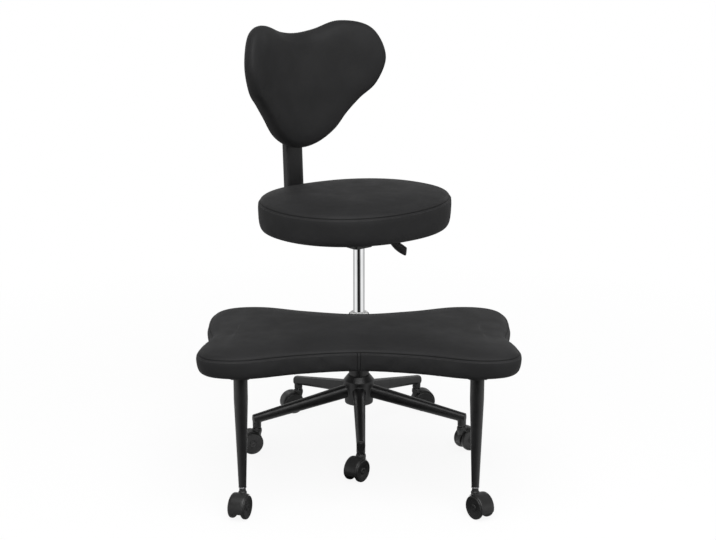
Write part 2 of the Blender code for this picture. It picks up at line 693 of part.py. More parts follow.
def lever(frame, paints):
    """Flat steel lever on its pin, bent down and forward, with a plastic paddle on its outer end."""
    pivot = empty("lever_pivot", frame, (LEVER_PIVOT_X, 0, LEVER_Z))
    bend = Vector((LEVER_BEND[0] - LEVER_PIVOT_X, LEVER_BEND[1], 0))
    end = Vector((LEVER_END[0] - LEVER_PIVOT_X, LEVER_END[1], -LEVER_DROP))
    along = (end - bend).normalized()
    grip_start = end - along * PADDLE_LENGTH
    rod_end = grip_start + along * PADDLE_SOCKET
    path = [Vector((-LEVER_INNER_REACH, 0, 0)), bend, bend + (rod_end - bend) * 0.3, rod_end]
    rings = bar_rings(path, LEVER_THICKNESS, LEVER_HEIGHT)
    bar = piece("lever_rod", loft(rings, "lever_rod"), paints["steel_black"], pivot)
    hole = rod(LEVER_PIN_DIA / 2 + RUN_GAP, -LEVER_HEIGHT, LEVER_HEIGHT, SMALL_ROUND, "lever_hole")
    combine(bar, "DIFFERENCE", helper("lever_hole", hole, pivot, (0, 0, 0), (math.pi / 2, 0, 0)))
    across = Vector((-along.y, along.x, 0)).normalized()
    up = along.cross(across).normalized()
    neck = LEVER_HEIGHT + 2 * PADDLE_WALL
    sections = (
        (0.0, PADDLE_NECK_WIDTH, neck),
        (0.35, PADDLE_NECK_WIDTH, neck),
        (0.6, PADDLE_WIDTH, PADDLE_THICKNESS),
        (0.9, PADDLE_WIDTH, PADDLE_THICKNESS),
        (1.0, PADDLE_TIP_WIDTH, PADDLE_THICKNESS),
    )
    grip = []
    for share, width, thickness in sections:
        middle = grip_start + along * (share * PADDLE_LENGTH)
        oval = superellipse(width / 2, thickness / 2, 3, 16)
        grip.append([middle + across * a + up * b for a, b in oval])
    paddle = piece("lever_paddle", loft(grip, "lever_paddle"), paints["plastic"], pivot)
    pocket_path = [grip_start - along * PADDLE_SOCKET, rod_end + along * TOUCH_GAP]
    room = 2 * TOUCH_GAP
    pocket = loft(bar_rings(pocket_path, LEVER_THICKNESS + room, LEVER_HEIGHT + room), "pocket")
    combine(paddle, "DIFFERENCE", helper("paddle_pocket", pocket, pivot))
    half = BOX_WIDTH / 2
    pin = rod(LEVER_PIN_DIA / 2, -half, half, SMALL_ROUND, "lever_pin")
    piece("lever_pin", pin, paints["steel"], frame, (LEVER_PIVOT_X, 0, LEVER_Z), (math.pi / 2, 0, 0))


# Upholstery


def flat_pad(name, outline, underside, middle_y, band, crown, paints, frame):
    """A board and the cushion that wraps over its edge: soft lower edge, drawn-in band, crowned top."""

    def place(x, y, height):
        return (x, y + middle_y, underside + height)

    ceiling = BOARD_THICKNESS + TOUCH_GAP
    rings = [
        (BOARD_SHARE, ceiling),
        (BOARD_SHARE, 0.0),
        (UNDERSIDE_SHARE, 0.0),
        (0.982, 0.09 * band),
        (0.996, 0.24 * band),
        (0.997, 0.50 * band),
        (1.0, 0.78 * band),
        (0.993, 0.95 * band),
        (0.980, band),
        (0.950, band + 0.35 * crown),
        (0.82, band + 0.70 * crown),
        (0.55, band + 0.92 * crown),
        (0.25, band + crown),
    ]
    piece(f"{name}_cushion", pad(outline, rings, place, f"{name}_cushion"), paints["leather"], frame)
    share = BOARD_SHARE - BOARD_ROOM
    board = pad(outline, [(share, 0.0), (share, BOARD_THICKNESS)], place, f"{name}_board")
    piece(f"{name}_board", board, paints["wood"], frame)


def bar_front_y(z):
    """Front face of the back bar at a height above its bend."""
    return BAR_DISTANCE + (z - BAR_RISE_Z) * math.tan(BACK_LEAN) - BAR_DEPTH / 2


def back_bar(frame, paint):
    """A flat-oval bar from under the seat, round a bend and up behind the heart."""
    turn = math.pi / 2 - BACK_LEAN
    path = [(Vector((0, BAR_INNER_Y, BAR_Z)), 0.0)]
    centre_y = BAR_DISTANCE - BAR_BEND
    for angle in np.linspace(0, turn, 9):
        y, z = centre_y + BAR_BEND * math.sin(angle), BAR_RISE_Z - BAR_BEND * math.cos(angle)
        path.append((Vector((0, y, z)), angle))
    length = (BACK_Z + BAR_OVERLAP - path[-1][0].z) / math.cos(BACK_LEAN)
    top = path[-1][0] + Vector((0, math.sin(BACK_LEAN), math.cos(BACK_LEAN))) * length
    path.append((top, turn))
    section = superellipse(BAR_WIDTH / 2, BAR_DEPTH / 2, 4, 20)
    rings = []
    for point, angle in path:
        out = Vector((0, math.sin(angle), -math.cos(angle)))
        rings.append([point + Vector((a, 0, 0)) + out * b for a, b in section])
    piece("back_bar", loft(rings, "back_bar"), paint, frame)


def back_pad(frame, paints):
    """The heart: a bent board in a cushion that wraps round the sitter."""
    shares = mirrored_loop(HEART_NOTCH, HEART_HALF, HEART_TIP, HEART_POINTS)
    outline = [(x * BACK_HALF_WIDTH, (y - HEART_MIDDLE) * BACK_HEIGHT) for x, y in shares]

    def place(across, up, depth):
        z = BACK_Z + HEART_MIDDLE * BACK_HEIGHT + up
        forward = depth + BACK_WRAP * (across / BACK_HALF_WIDTH) ** 2
        return (across, bar_front_y(z) - 2 * TOUCH_GAP - forward, z)

    t = BACK_THICKNESS
    ceiling = BACK_BOARD_THICKNESS + TOUCH_GAP
    rings = [
        (BOARD_SHARE, ceiling),
        (BOARD_SHARE, 0.0),
        (UNDERSIDE_SHARE, 0.0),
        (0.988, 0.08 * t),
        (1.0, 0.25 * t),
        (1.0, 0.52 * t),
        (0.985, 0.72 * t),
        (0.950, 0.85 * t),
        (0.860, 0.935 * t),
        (0.65, 0.98 * t),
        (0.30, t),
    ]
    piece("back_cushion", pad(outline, rings, place, "back_cushion"), paints["leather"], frame)
    share = BOARD_SHARE - BOARD_ROOM
    board = pad(outline, [(share, 0.0), (share, BACK_BOARD_THICKNESS)], place, "back_board")
    piece("back_board", board, paints["wood"], frame)


# Footrest


def footrest_legs(frame, paint):
    top_z = FOOT_Z - TOUCH_GAP
    foot_z = socket_z(LEG_NECK)
    top, foot = LEG_TOP_DIA / 2, LEG_FOOT_DIA / 2
    profile = [
        (0, foot_z),
        (foot, foot_z),
        (top, top_z - LEG_STRAIGHT),
        (top, top_z - LEG_PLATE),
        (LEG_PLATE_DIA / 2, top_z - LEG_PLATE),
        (LEG_PLATE_DIA / 2, top_z),
        (0, top_z),
    ]
    for side, name in ((-1, "leg_left"), (1, "leg_right")):
        spot = (side * LEG_X, LEG_Y, 0)
        leg = piece(name, revolve(profile, WHEEL_ROUND, name), paint, frame, spot)
        half_face = (0, 0, math.pi / WHEEL_ROUND)
        bore = helper(f"{name}_bore", socket_bore(LEG_NECK, "leg_bore"), frame, spot, half_face)
        combine(leg, "DIFFERENCE", bore)


def footrest_bracket(frame, paints):
    """A collar that turns on the column and a stepped arm under the footrest board."""
    bush_inner = TUBE_DIA / 2 + RUN_GAP
    bush_outer = bush_inner + COLLAR_BUSH_WALL
    inner = bush_outer + TOUCH_GAP / math.cos(math.pi / ROUND) + TOUCH_GAP
    outer = inner + COLLAR_WALL
    ring = tube(outer, inner, COLLAR_FOOT_Z, COLLAR_TOP_Z, ROUND, "collar")
    bracket = piece("footrest_bracket", ring, paints["black"], frame)
    start = -(inner + outer) / 2
    step_start, reach = FOOT_ARM_START_Y + ARM_STEP, FOOT_ARM_START_Y - ARM_REACH
    lower, upper = COLLAR_TOP_Z - ARM_THICKNESS, FOOT_ARM_TOP_Z - ARM_THICKNESS
    side = [
        (start, lower - ARM_THICKNESS),
        (start, COLLAR_TOP_Z - ARM_THICKNESS / 2),
        (step_start, COLLAR_TOP_Z - ARM_THICKNESS / 2),
        (FOOT_ARM_START_Y, FOOT_ARM_TOP_Z),
        (reach, FOOT_ARM_TOP_Z),
        (reach, upper),
        (FOOT_ARM_START_Y, upper),
        (step_start, lower - ARM_THICKNESS),
    ]
    to_side = Matrix(((0, 0, 1, 0), (1, 0, 0, 0), (0, 1, 0, 0), (0, 0, 0, 1)))
    arm = prism(side, -ARM_WIDTH / 2, ARM_WIDTH / 2, "bracket_arm", to_side)
    combine(bracket, "UNION", helper("bracket_arm", arm, frame))
    bush = tube(bush_outer, bush_inner, COLLAR_FOOT_Z, COLLAR_TOP_Z, ROUND, "collar_bush")
    piece("collar_bush", bush, paints["plastic"], frame)
    stop_inner = TUBE_DIA / 2 + TOUCH_GAP / math.cos(math.pi / ROUND) + TOUCH_GAP
    stop_top = COLLAR_FOOT_Z - TOUCH_GAP
    stop = tube(stop_inner + STOP_WALL, stop_inner, stop_top - STOP_HEIGHT, stop_top, ROUND, "stop_ring")
    piece("stop_ring", stop, paints["steel_black"], frame)


def main():
    for old in list(bpy.data.objects):
        bpy.data.objects.remove(old)
    paints = {
        "leather": material("leather", (0.022, 0.022, 0.023), 0.48),
        "black": material("black_paint", (0.018, 0.018, 0.019), 0.38),
        "steel_black": material("black_steel", (0.03, 0.03, 0.03), 0.45, 0.6),
        "steel": material("bright_steel", (0.55, 0.55, 0.56), 0.35, 1.0),
        "chrome": material("chrome", (0.75, 0.75, 0.76), 0.08, 1.0),
        "plastic": material("black_plastic", (0.02, 0.02, 0.02), 0.55),
        "pale_plastic": material("pale_plastic", (0.55, 0.55, 0.54), 0.5),
        "hood": material("caster_hood", (0.022, 0.022, 0.022), 0.45),
        "wheel": material("caster_wheel", (0.02, 0.02, 0.02), 0.5),
        "stem": material("caster_steel", (0.5, 0.5, 0.51), 0.35, 1.0),
        "wood": material("plywood", (0.45, 0.30, 0.17), 0.7),
    }
    column = empty("column", None, (0, COLUMN_Y, 0))
    seat = empty("seat_frame", column, (0, 0, 0), SEAT_TURN)

    first = -math.pi / 2 + BASE_TURN
    arms = [first + number * math.tau / len(BASE_CASTERS) for number in range(len(BASE_CASTERS))]
    star_base(column, arms, paints["black"])
    base_spots = [place_on_circle(BASE_RADIUS, angle) for angle in arms]
    casters(column, list(BASE_CASTERS.items()), base_spots, BASE_NECK, paints)

    stand_tube(column, paints["black"])
    guide_bush(column, paints["pale_plastic"])
    gas_rod(column, paints)
    gas_cylinder(seat, paints)
    seat_plate(seat, paints["black"])
    lever(seat, paints)
    seat_outline = superellipse(SEAT_HALF_WIDTH, SEAT_HALF_DEPTH, SEAT_ROUNDNESS, SEAT_POINTS)
    flat_pad("seat", seat_outline, SEAT_Z, SEAT_OFFSET, SEAT_BAND, SEAT_CROWN, paints, seat)
    back_bar(seat, paints["black"])
    back_pad(seat, paints)

    foot_shares = mirrored_loop(FOOT_BACK, FOOT_HALF, FOOT_FRONT, FOOT_POINTS)
    foot_outline = [(x * FOOT_HALF_WIDTH, y * FOOT_HALF_DEPTH) for x, y in foot_shares]
    flat_pad("footrest", foot_outline, FOOT_Z, FOOT_CENTRE_Y, FOOT_BAND, FOOT_CROWN, paints, column)
    footrest_bracket(column, paints)
    footrest_legs(column, paints["black"])
    leg_spots = [(side * LEG_X, LEG_Y, 0) for side in (-1, 1)]
    casters(column, list(LEG_CASTERS.items()), leg_spots, LEG_NECK, paints)


main()
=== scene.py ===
import json
import math

import bmesh
import bpy
import numpy as np
from mathutils import Matrix, Vector, noise


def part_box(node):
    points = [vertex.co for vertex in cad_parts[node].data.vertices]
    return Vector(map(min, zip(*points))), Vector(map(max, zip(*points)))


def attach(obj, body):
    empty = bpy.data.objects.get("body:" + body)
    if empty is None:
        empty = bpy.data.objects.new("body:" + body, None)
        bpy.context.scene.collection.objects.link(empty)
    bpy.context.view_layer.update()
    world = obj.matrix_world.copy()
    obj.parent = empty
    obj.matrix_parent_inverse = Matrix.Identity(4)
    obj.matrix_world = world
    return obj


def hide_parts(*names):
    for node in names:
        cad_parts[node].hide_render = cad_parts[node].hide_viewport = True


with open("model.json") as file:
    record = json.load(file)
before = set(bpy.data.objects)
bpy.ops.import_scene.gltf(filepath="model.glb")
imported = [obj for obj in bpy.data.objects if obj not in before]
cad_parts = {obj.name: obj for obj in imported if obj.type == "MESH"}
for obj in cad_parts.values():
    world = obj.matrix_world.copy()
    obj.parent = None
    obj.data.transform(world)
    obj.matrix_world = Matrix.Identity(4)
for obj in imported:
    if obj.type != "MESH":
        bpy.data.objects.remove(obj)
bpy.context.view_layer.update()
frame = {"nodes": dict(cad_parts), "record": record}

# Camera, fitted to the photo
PHOTO_WIDTH = 716
FOCAL_PIXELS = 1617
PRINCIPAL_X = 358.9
CAMERA_PLACE = (0.0, -3.7085, 1.4275)
CAMERA_TILT = math.radians(90 - 14.44)
SENSOR = 36.0

# Sizes of the part's source, a few of them eased to the photo
TOUCH_GAP = 0.0003
COLUMN_Y = 0.1315
SEAT_TURN = math.radians(40)
SEAT_Z = 0.5465
SEAT_OFFSET = 0.014
SEAT_HALF_WIDTH = 0.241
SEAT_HALF_DEPTH = 0.2135
SEAT_ROUNDNESS = 2.15
SEAT_BAND = 0.068
SEAT_CROWN = 0.0185
BOARD_THICKNESS = 0.012
BOARD_SHARE = 0.93
UNDERSIDE_SHARE = 0.955
BAR_SEAT_GAP = 0.0165
BAR_DEPTH = 0.024
BACK_LEAN = math.radians(2.5)
BACK_Z = 0.713
BACK_HALF_WIDTH = 0.210
BACK_HEIGHT = 0.310
BACK_WRAP = 0.082
BACK_THICKNESS = 0.058
BACK_BOARD_THICKNESS = 0.010
HEART_MIDDLE = 0.55
HEART_TIP = (0.0, 0.0)
HEART_NOTCH = (0.0, 0.913)
HEART_HALF = [
    (0.27, 0.937),
    (0.58, 1.0),
    (0.877, 0.944),
    (1.005, 0.725),
    (0.908, 0.506),
    (0.732, 0.379),
    (0.578, 0.259),
    (0.426, 0.126),
    (0.22, 0.032),
]
FOOT_Z = 0.328
FOOT_CENTRE_Y = -0.316
FOOT_HALF_WIDTH = 0.3565
FOOT_HALF_DEPTH = 0.208
FOOT_BAND = 0.0438
FOOT_CROWN = 0.015
FOOT_BACK = (0.0, 0.70)
FOOT_FRONT = (0.0, -0.73)
FOOT_HALF = [
    (0.39, 0.827),
    (0.735, 1.0),
    (0.951, 0.83),
    (0.979, 0.24),
    (0.942, -0.18),
    (0.983, -0.47),
    (0.995, -0.80),
    (0.911, -0.981),
    (0.70, -1.012),
    (0.377, -0.832),
]

# How the photo's pads lie: the seat's raised ends, and the heart's slight offset, slant and fullness
SEAT_TILT = 0.0012
SEAT_DISH = 0.0036
DISH_LEVEL = 0.12
HEART_SHIFT = 0.0010
HEART_SHEAR = 0.010
HEART_EASE = 1.012

# Pads: columns round each one, ring spacing, and distances either side of a seam
SEAT_COLUMNS = 288
HEART_COLUMNS = 240
FOOT_COLUMNS = 400
RING_STEP = 0.005
PATCH_SHARE = 0.80
STAPLED_RINGS = 3
SEAM_FLANK = 0.0018
STITCH_LINE = 0.0055
SEAM_DEPTH = 0.0017
SEAM_CREASE = 0.7
DOUBLE_SEAM = 0.0075

# Part of the band that the curve of its lower edge takes up
SEAT_EDGE = 0.40
FOOT_EDGE = 0.44

# Inflation: the cover's cloth, how far a point may move, and rounds of evening out
CLOTH = {
    "quality": 6,
    "mass": 0.25,
    "tension_stiffness": 30,
    "compression_stiffness": 30,
    "shear_stiffness": 12,
    "bending_stiffness": 1.2,
    "use_pressure": True,
    "uniform_pressure_force": 4.0,
    "shrink_min": -0.002,
    "shrink_max": -0.008,
    "vertex_group_shrink": "slack",
    "vertex_group_mass": "held",
}
SIM_FRAMES = 20
START_SHRINK = 0.002
MOST_MOVE = 0.005
EASE_ROUNDS = 60
CROWN_RINGS = 4
CROWN_ROUNDS = 12

# Folds beside a seam: their depth below and above it, how close they are, and how they fade
PUCKER_DEPTH = {-1: 0.0005, 1: 0.00006}
PUCKER_SCALE = 42.0
PUCKER_FADE = 3.0
PUCKER_REACH = 9

# Length, gap, radius and lift of stitches and staples, and a strand's (place, width, dip) along its length
STITCH = (0.0042, 0.0016, 0.00035, 0.0002)
STAPLE = (0.0095, 0.022, 0.00035, 0.0002)
STRAND = ((-0.5, 0.35, -1.0), (-0.36, 1.0, 0.0), (0.36, 1.0, 0.0), (0.5, 0.35, -1.0))
STRAND_SIDES = 6

BAR_DISTANCE = SEAT_OFFSET + SEAT_HALF_DEPTH + BAR_SEAT_GAP + BAR_DEPTH / 2
BAR_BEND = BAR_DISTANCE - SEAT_OFFSET - UNDERSIDE_SHARE * SEAT_HALF_DEPTH
BAR_Z = SEAT_Z - TOUCH_GAP - BAR_DEPTH / 2
BAR_RISE_Z = BAR_Z + BAR_BEND
COLUMN = Matrix.Translation((0, COLUMN_Y, 0))
SEAT_FRAME = COLUMN @ Matrix.Rotation(SEAT_TURN, 4, "Z")
SEAT_MIDDLE = SEAT_FRAME @ Vector((0, SEAT_OFFSET, SEAT_Z))


# Outlines and profiles


def distances(points):
    """How far along a line each of its points is."""
    return np.concatenate([[0], np.cumsum(np.linalg.norm(np.diff(points, axis=0), axis=1))])


def even_loop(points, count, extra=()):
    """Points on a closed curve, evenly spaced, with extra ones at chosen distances along it."""
    points = np.vstack([points, points[:1]])
    along = distances(points)
    wanted = np.linspace(0, along[-1], count - len(extra), endpoint=False)
    wanted = np.sort(np.concatenate([wanted, [d % along[-1] for d in extra]]))
    return np.column_stack([np.interp(wanted, along, points[:, i]) for i in range(2)])


def oval(half_width, half_depth, power, count):
    """Evenly spaced points on a superellipse."""
    angles = np.linspace(0, math.tau, 4000, endpoint=False)
    c, s = np.cos(angles), np.sin(angles)
    x = half_width * np.sign(c) * np.abs(c) ** (2 / power)
    y = half_depth * np.sign(s) * np.abs(s) ** (2 / power)
    return even_loop(np.column_stack([x, y]), count)


def smooth_curve(knots, closed):
    """A dense Catmull-Rom curve through the knots."""
    knots = np.asarray(knots, dtype=float)
    if closed:
        before, after, next_after = (np.roll(knots, -step, axis=0) for step in (-1, 1, 2))
        start = knots
    else:
        padded = np.vstack([2 * knots[0] - knots[1], knots, 2 * knots[-1] - knots[-2]])
        before, start, after, next_after = padded[:-3], padded[1:-2], padded[2:-1], padded[3:]
    dense = []
    for t in np.linspace(0, 1, 40, endpoint=False):
        bend = 2 * before - 5 * start + 4 * after - next_after
        twist = 3 * (start - after) + next_after - before
        dense.append(start + 0.5 * t * (after - before + t * (bend + t * twist)))
    dense = np.stack(dense, axis=1).reshape(-1, 2)
    return dense if closed else np.vstack([dense, knots[-1:]])


def mirrored_loop(first, half, last):
    left = [(-x, y) for x, y in reversed(half)]
    return smooth_curve([first, *half, last, *left], True)


def profile_curve(profile, radius, backwards=False):
    """A profile's dense curve and the distances along it, with shares as parts of a mean radius."""
    curve = smooth_curve(profile, False)
    if backwards:
        curve = curve[::-1]
    steps = np.hypot(np.diff(curve[:, 0]) * radius, np.diff(curve[:, 1]))
    return curve, np.concatenate([[0], np.cumsum(steps)])


def walk(curve, along, wanted):
    """(share, height) at the wanted distances along a profile's curve."""
    return [tuple(np.interp(distance, along, curve[:, i]) for i in range(2)) for distance in wanted]


def ring_steps(end):
    """Even distances from the row of stitches to an end, about a ring's spacing apart."""
    count = max(2, round((end - STITCH_LINE) / RING_STEP))
    return list(np.linspace(STITCH_LINE, end, count + 1)[1:])


def coons(loop):
    """A square grid inside a closed loop of 4 k points, without a pole."""
    k = len(loop) // 4
    first, second = loop[: k + 1], loop[k : 2 * k + 1]
    third = loop[2 * k : 3 * k + 1][::-1]
    fourth = np.vstack([loop[3 * k :], loop[:1]])[::-1]
    u, v = np.meshgrid(np.linspace(0, 1, k + 1), np.linspace(0, 1, k + 1), indexing="ij")
    u, v = u[..., None], v[..., None]
    sides = (1 - v) * first[:, None] + v * third[:, None] + (1 - u) * fourth[None] + u * second[None]
    corners = ((1 - u) * (1 - v) * first[0] + u * (1 - v) * first[-1]
               + (1 - u) * v * third[0] + u * v * third[-1])
    return sides - corners


# Meshes


def add(name, data):
    made = bpy.data.objects.new(name, data)
    bpy.context.scene.collection.objects.link(made)
    return made


def link(name, mesh, body, slot, paint=None, sharp=None):
    """A piece of the chair, in its slot's paint or another one, with edges sharp from an angle in degrees."""
    made = add(name, mesh)
    if sharp:
        mesh.set_sharp_from_angle(angle=math.radians(sharp))
    mesh.materials.clear()
    mesh.materials.append(paint or PAINTS[slot])
    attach(made, body)
    return made


def mesh_from(name, verts, faces):
    mesh = bpy.data.meshes.new(name)
    mesh.from_pydata([tuple(v) for v in verts], [], faces)
    mesh.update()
    mesh.shade_smooth()
    return mesh


def applied(name, rough):
    """A smooth mesh of an object with its modifiers applied. The object itself goes."""
    graph = bpy.context.evaluated_depsgraph_get()
    mesh = bpy.data.meshes.new_from_object(rough.evaluated_get(graph))
    mesh.name = name
    bpy.data.objects.remove(rough)
    mesh.shade_smooth()
    return mesh


def points_of(mesh):
    """Places and normals of a mesh's points."""
    flat = np.empty(len(mesh.vertices) * 3, dtype=np.float32)
    both = []
    for kind in ("co", "normal"):
        mesh.vertices.foreach_get(kind, flat)
        both.append(flat.reshape(-1, 3).astype(float))
    return both


def set_positions(mesh, places):
    mesh.vertices.foreach_set("co", np.asarray(places, dtype=np.float32).ravel())
    mesh.update()


class Pad:
    """A closed cushion of rings round an outline, with a grid over its crown.

    low is the profile from under the board's edge up to the seam and top the one from the seam to the
    middle, both as (share of the outline, height). place turns (x, y, height) into a world point."""

    def __init__(self, name, outline, low, top, lip, place):
        self.name, self.outline, self.place = name, outline, place
        radius = float(np.mean(np.linalg.norm(outline, axis=1)))
        near = [0.0, SEAM_FLANK, STITCH_LINE]
        curve, along = profile_curve(low, radius, True)
        low_rings = walk(curve, along, near + ring_steps(along[-1]))[::-1]
        curve, along = profile_curve(top, radius)
        patch_at = float(np.interp(-PATCH_SHARE, -curve[:, 0], along))
        top_rings = walk(curve, along, near[1:] + ring_steps(patch_at))
        self.rings = [(BOARD_SHARE, lip), (BOARD_SHARE, 0.0), *low_rings, *top_rings]
        self.seam = 1 + len(low_rings)
        self.top_curve = curve
        self.columns = len(outline)
        self.build()

    def ring(self, number):
        return np.arange(number * self.columns, (number + 1) * self.columns)

    def column(self, number, first, last):
        return [ring * self.columns + number % self.columns for ring in range(first, last + 1)]

    def build(self):
        verts = []
        for share, height in self.rings:
            verts += [self.place(x * share, y * share, height) for x, y in self.outline]
        faces = []
        for lower in range(len(self.rings) - 1):
            a, b = lower * self.columns, (lower + 1) * self.columns
            for i in range(self.columns):
                j = (i + 1) % self.columns
                faces.append((a + j, a + i, b + i, b + j))
        angles = np.arctan2(self.outline[:, 1], self.outline[:, 0])
        order = np.argsort(angles)
        reach = np.linalg.norm(self.outline, axis=1)[order]

        def crown(x, y):
            full = np.interp(np.arctan2(y, x), angles[order], reach, period=math.tau)
            return np.interp(-np.hypot(x, y) / full, -self.top_curve[:, 0], self.top_curve[:, 1])

        def ceiling(x, y):
            return np.full_like(x, self.rings[0][1])

        for number, height in ((len(self.rings) - 1, crown), (0, ceiling)):
            self.cover(verts, faces, number, height)
        self.mesh = mesh_from(self.name, verts, [tuple(int(n) for n in face) for face in faces])
        bm = bmesh.new()
        bm.from_mesh(self.mesh)
        bmesh.ops.recalc_face_normals(bm, faces=bm.faces)
        bm.to_mesh(self.mesh)
        bm.free()

    def cover(self, verts, faces, number, height):
        """Fills the inside of a ring with a grid at the height given for each (x, y)."""
        grid = coons(self.outline * self.rings[number][0])
        k = self.columns // 4
        edge = self.ring(number)
        index = np.zeros((k + 1, k + 1), dtype=int)
        for step in range(k):
            index[step, 0], index[k, step] = edge[step], edge[k + step]
            index[k - step, k], index[0, k - step] = edge[2 * k + step], edge[3 * k + step]
        heights = height(grid[..., 0], grid[..., 1])
        for i in range(1, k):
            for j in range(1, k):
                index[i, j] = len(verts)
                verts.append(self.place(*grid[i, j], heights[i, j]))
        for i in range(k):
            for j in range(k):
                faces.append((index[i, j], index[i, j + 1], index[i + 1, j + 1], index[i + 1, j]))

    def inflate(self, lines=()):
        """Blows the cover up from inside, with the stapled edge, the seam and any other lines held."""
        stapled = [self.ring(number) for number in range(STAPLED_RINGS)]
        seam = [self.ring(self.seam + step) for step in (-1, 0, 1)]
        groups = {
            "held": np.concatenate([*stapled, *seam, np.array(lines, dtype=int)]),
            "slack": np.arange(STAPLED_RINGS * self.columns, self.seam * self.columns),
        }
        start = points_of(self.mesh)[0]
        blown = add(self.name + "_blown", self.mesh.copy())
        for name, members in groups.items():
            blown.vertex_groups.new(name=name).add(members.tolist(), 1.0, "REPLACE")
        cloth = blown.modifiers.new("cloth", "CLOTH")
        for key, value in CLOTH.items():
            setattr(cloth.settings, key, value)
        cloth.settings.effector_weights.gravity = 0
        cloth.point_cache.frame_start, cloth.point_cache.frame_end = 1, SIM_FRAMES
        scene = bpy.context.scene
        for number in range(1, SIM_FRAMES + 1):
            scene.frame_set(number)
        graph = bpy.context.evaluated_depsgraph_get()
        move = points_of(blown.evaluated_get(graph).to_mesh())[0] - start
        length = np.linalg.norm(move, axis=1, keepdims=True)
        move *= np.tanh(length / MOST_MOVE) * MOST_MOVE / np.maximum(length, 1e-9)
        bpy.data.objects.remove(blown)
        scene.frame_set(1)
        eased = start + self.spread(move, self.seam + 2, EASE_ROUNDS)
        set_positions(self.mesh, self.spread(eased, len(self.rings) - CROWN_RINGS, CROWN_ROUNDS))

    def edge_ends(self):
        ends = np.empty(len(self.mesh.edges) * 2, dtype=np.int32)
        self.mesh.edges.foreach_get("vertices", ends)
        return ends.reshape(-1, 2)

    def spread(self, values, first_ring, rounds):
        """Values at the points, averaged with their neighbours from a ring upward, as foam fills pleats."""
        ends = self.edge_ends()
        ends = np.vstack([ends, ends[:, ::-1]])
        count = len(values)
        share = np.bincount(ends[:, 0], minlength=count)
        first = first_ring * self.columns
        for _ in range(rounds):
            total = [np.bincount(ends[:, 0], values[ends[:, 1], axis], count) / share for axis in range(3)]
            values[first:] = np.column_stack(total)[first:]
        return values

    def pucker(self):
        """Small folds that fade away from the seam, deeper in the band below it than in the top."""
        places, out = points_of(self.mesh)
        waves = np.array([noise.noise(Vector(p) * PUCKER_SCALE) for p in places[self.ring(self.seam)]])
        for step in range(2, PUCKER_REACH):
            fold = math.exp(-step / PUCKER_FADE) * waves[:, None]
            for side, depth in PUCKER_DEPTH.items():
                number = self.seam + side * step
                if STAPLED_RINGS <= number < len(self.rings):
                    places[self.ring(number)] += out[self.ring(number)] * fold * depth
        set_positions(self.mesh, places)

    def finish(self, body, node, lines=()):
        """Sunk seams and one subdivision, kept in the mesh. The first points stay the pad's own rings."""
        self.pucker()
        creased = np.concatenate([self.ring(self.seam), np.array(lines, dtype=int)])
        places, out = points_of(self.mesh)
        places[creased] -= out[creased] * SEAM_DEPTH
        set_positions(self.mesh, places)
        # A mask of the seam's points, which the leather darkens towards near black as painted shade in the
        # sunk seam
        shade = np.zeros(len(self.mesh.vertices), dtype=np.float32)
        shade[creased] = 1.0
        self.mesh.attributes.new("seam", "FLOAT", "POINT").data.foreach_set("value", shade)
        sharp = np.isin(self.edge_ends(), creased).all(axis=1) * np.float32(SEAM_CREASE)
        self.mesh.attributes.new("crease_edge", "FLOAT", "EDGE").data.foreach_set("value", sharp)
        rough = add(self.name + "_rough", self.mesh)
        step = rough.modifiers.new("subdivide", "SUBSURF")
        step.levels = step.render_levels = 1
        self.mesh = applied(self.name, rough)
        made = link(self.name, self.mesh, body, "leather")
        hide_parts(node)

    def topstitch(self, name, step, body):
        """A row of stitches on the finished pad, some rings away from its seam."""
        places, out = points_of(self.mesh)
        ring = self.ring(self.seam + step)
        threads(name, places[ring], out[ring], STITCH, body, "leather", THREAD)


def threads(name, points, out, size, body, slot, paint=None):
    """Short rounded strands along a closed line of points with normals, as stitches or staples."""
    length, gap, radius, lift = size
    points, out = (np.vstack([line, line[:1]]) for line in (points, out))
    along = distances(points)
    count = max(1, int(along[-1] / (length + gap)))
    pitch = along[-1] / count

    def on(line, distance):
        return np.array([np.interp(distance % along[-1], along, line[:, i]) for i in range(3)])

    shells = []
    for number in range(count):
        at = (number + 0.5) * pitch
        up = Vector(on(out, at)).normalized()
        ahead = Vector(on(points, at + length / 2) - on(points, at - length / 2)).normalized()
        across = ahead.cross(up).normalized()
        rings = []
        for share, width, dip in STRAND:
            middle = Vector(on(points, at + share * length)) + up * (lift + dip * radius)
            spokes = [across * x + up * y for x, y, _ in circle(1.0, 0.0, STRAND_SIDES)]
            rings.append([middle + spoke * (radius * width) for spoke in spokes])
        shells.append(swept(rings))
    return link(name, joined(name, shells), body, slot, paint)


def swept(rings, closed=False):
    """Points and faces of a skin through rings of equal count, closed on itself or capped at both ends."""
    count = len(rings[0])
    verts = [Vector(point) for ring in rings for point in ring]
    faces = []
    for lower in range(len(rings) if closed else len(rings) - 1):
        a, b = lower * count, (lower + 1) % len(rings) * count
        for i in range(count):
            j = (i + 1) % count
            faces.append((a + i, a + j, b + j, b + i))
    if not closed:
        faces.append(tuple(reversed(range(count))))
        faces.append(tuple(range((len(rings) - 1) * count, len(rings) * count)))
    return verts, faces


def circle(radius, z, sides):
    angles = [math.tau * side / sides for side in range(sides)]
    return [(radius * math.cos(angle), radius * math.sin(angle), z) for angle in angles]


def lathe(profile, sides):
    """A solid of (radius, z) turned about Z."""
    return swept([circle(radius, z, sides) for radius, z in profile])


def collar(loop, sides):
    """A ring whose section is a closed loop of (radius, z)."""
    return swept([circle(radius, z, sides) for radius, z in loop], True)


def joined(name, shells, places=(Matrix(),)):
    """One mesh from shells of (points, faces), repeated at each place."""
    verts, faces = [], []
    for place in places:
        for shell_verts, shell_faces in shells:
            base = len(verts)
            verts += [place @ v for v in shell_verts]
            faces += [tuple(n + base for n in face) for face in shell_faces]
    return mesh_from(name, verts, faces)


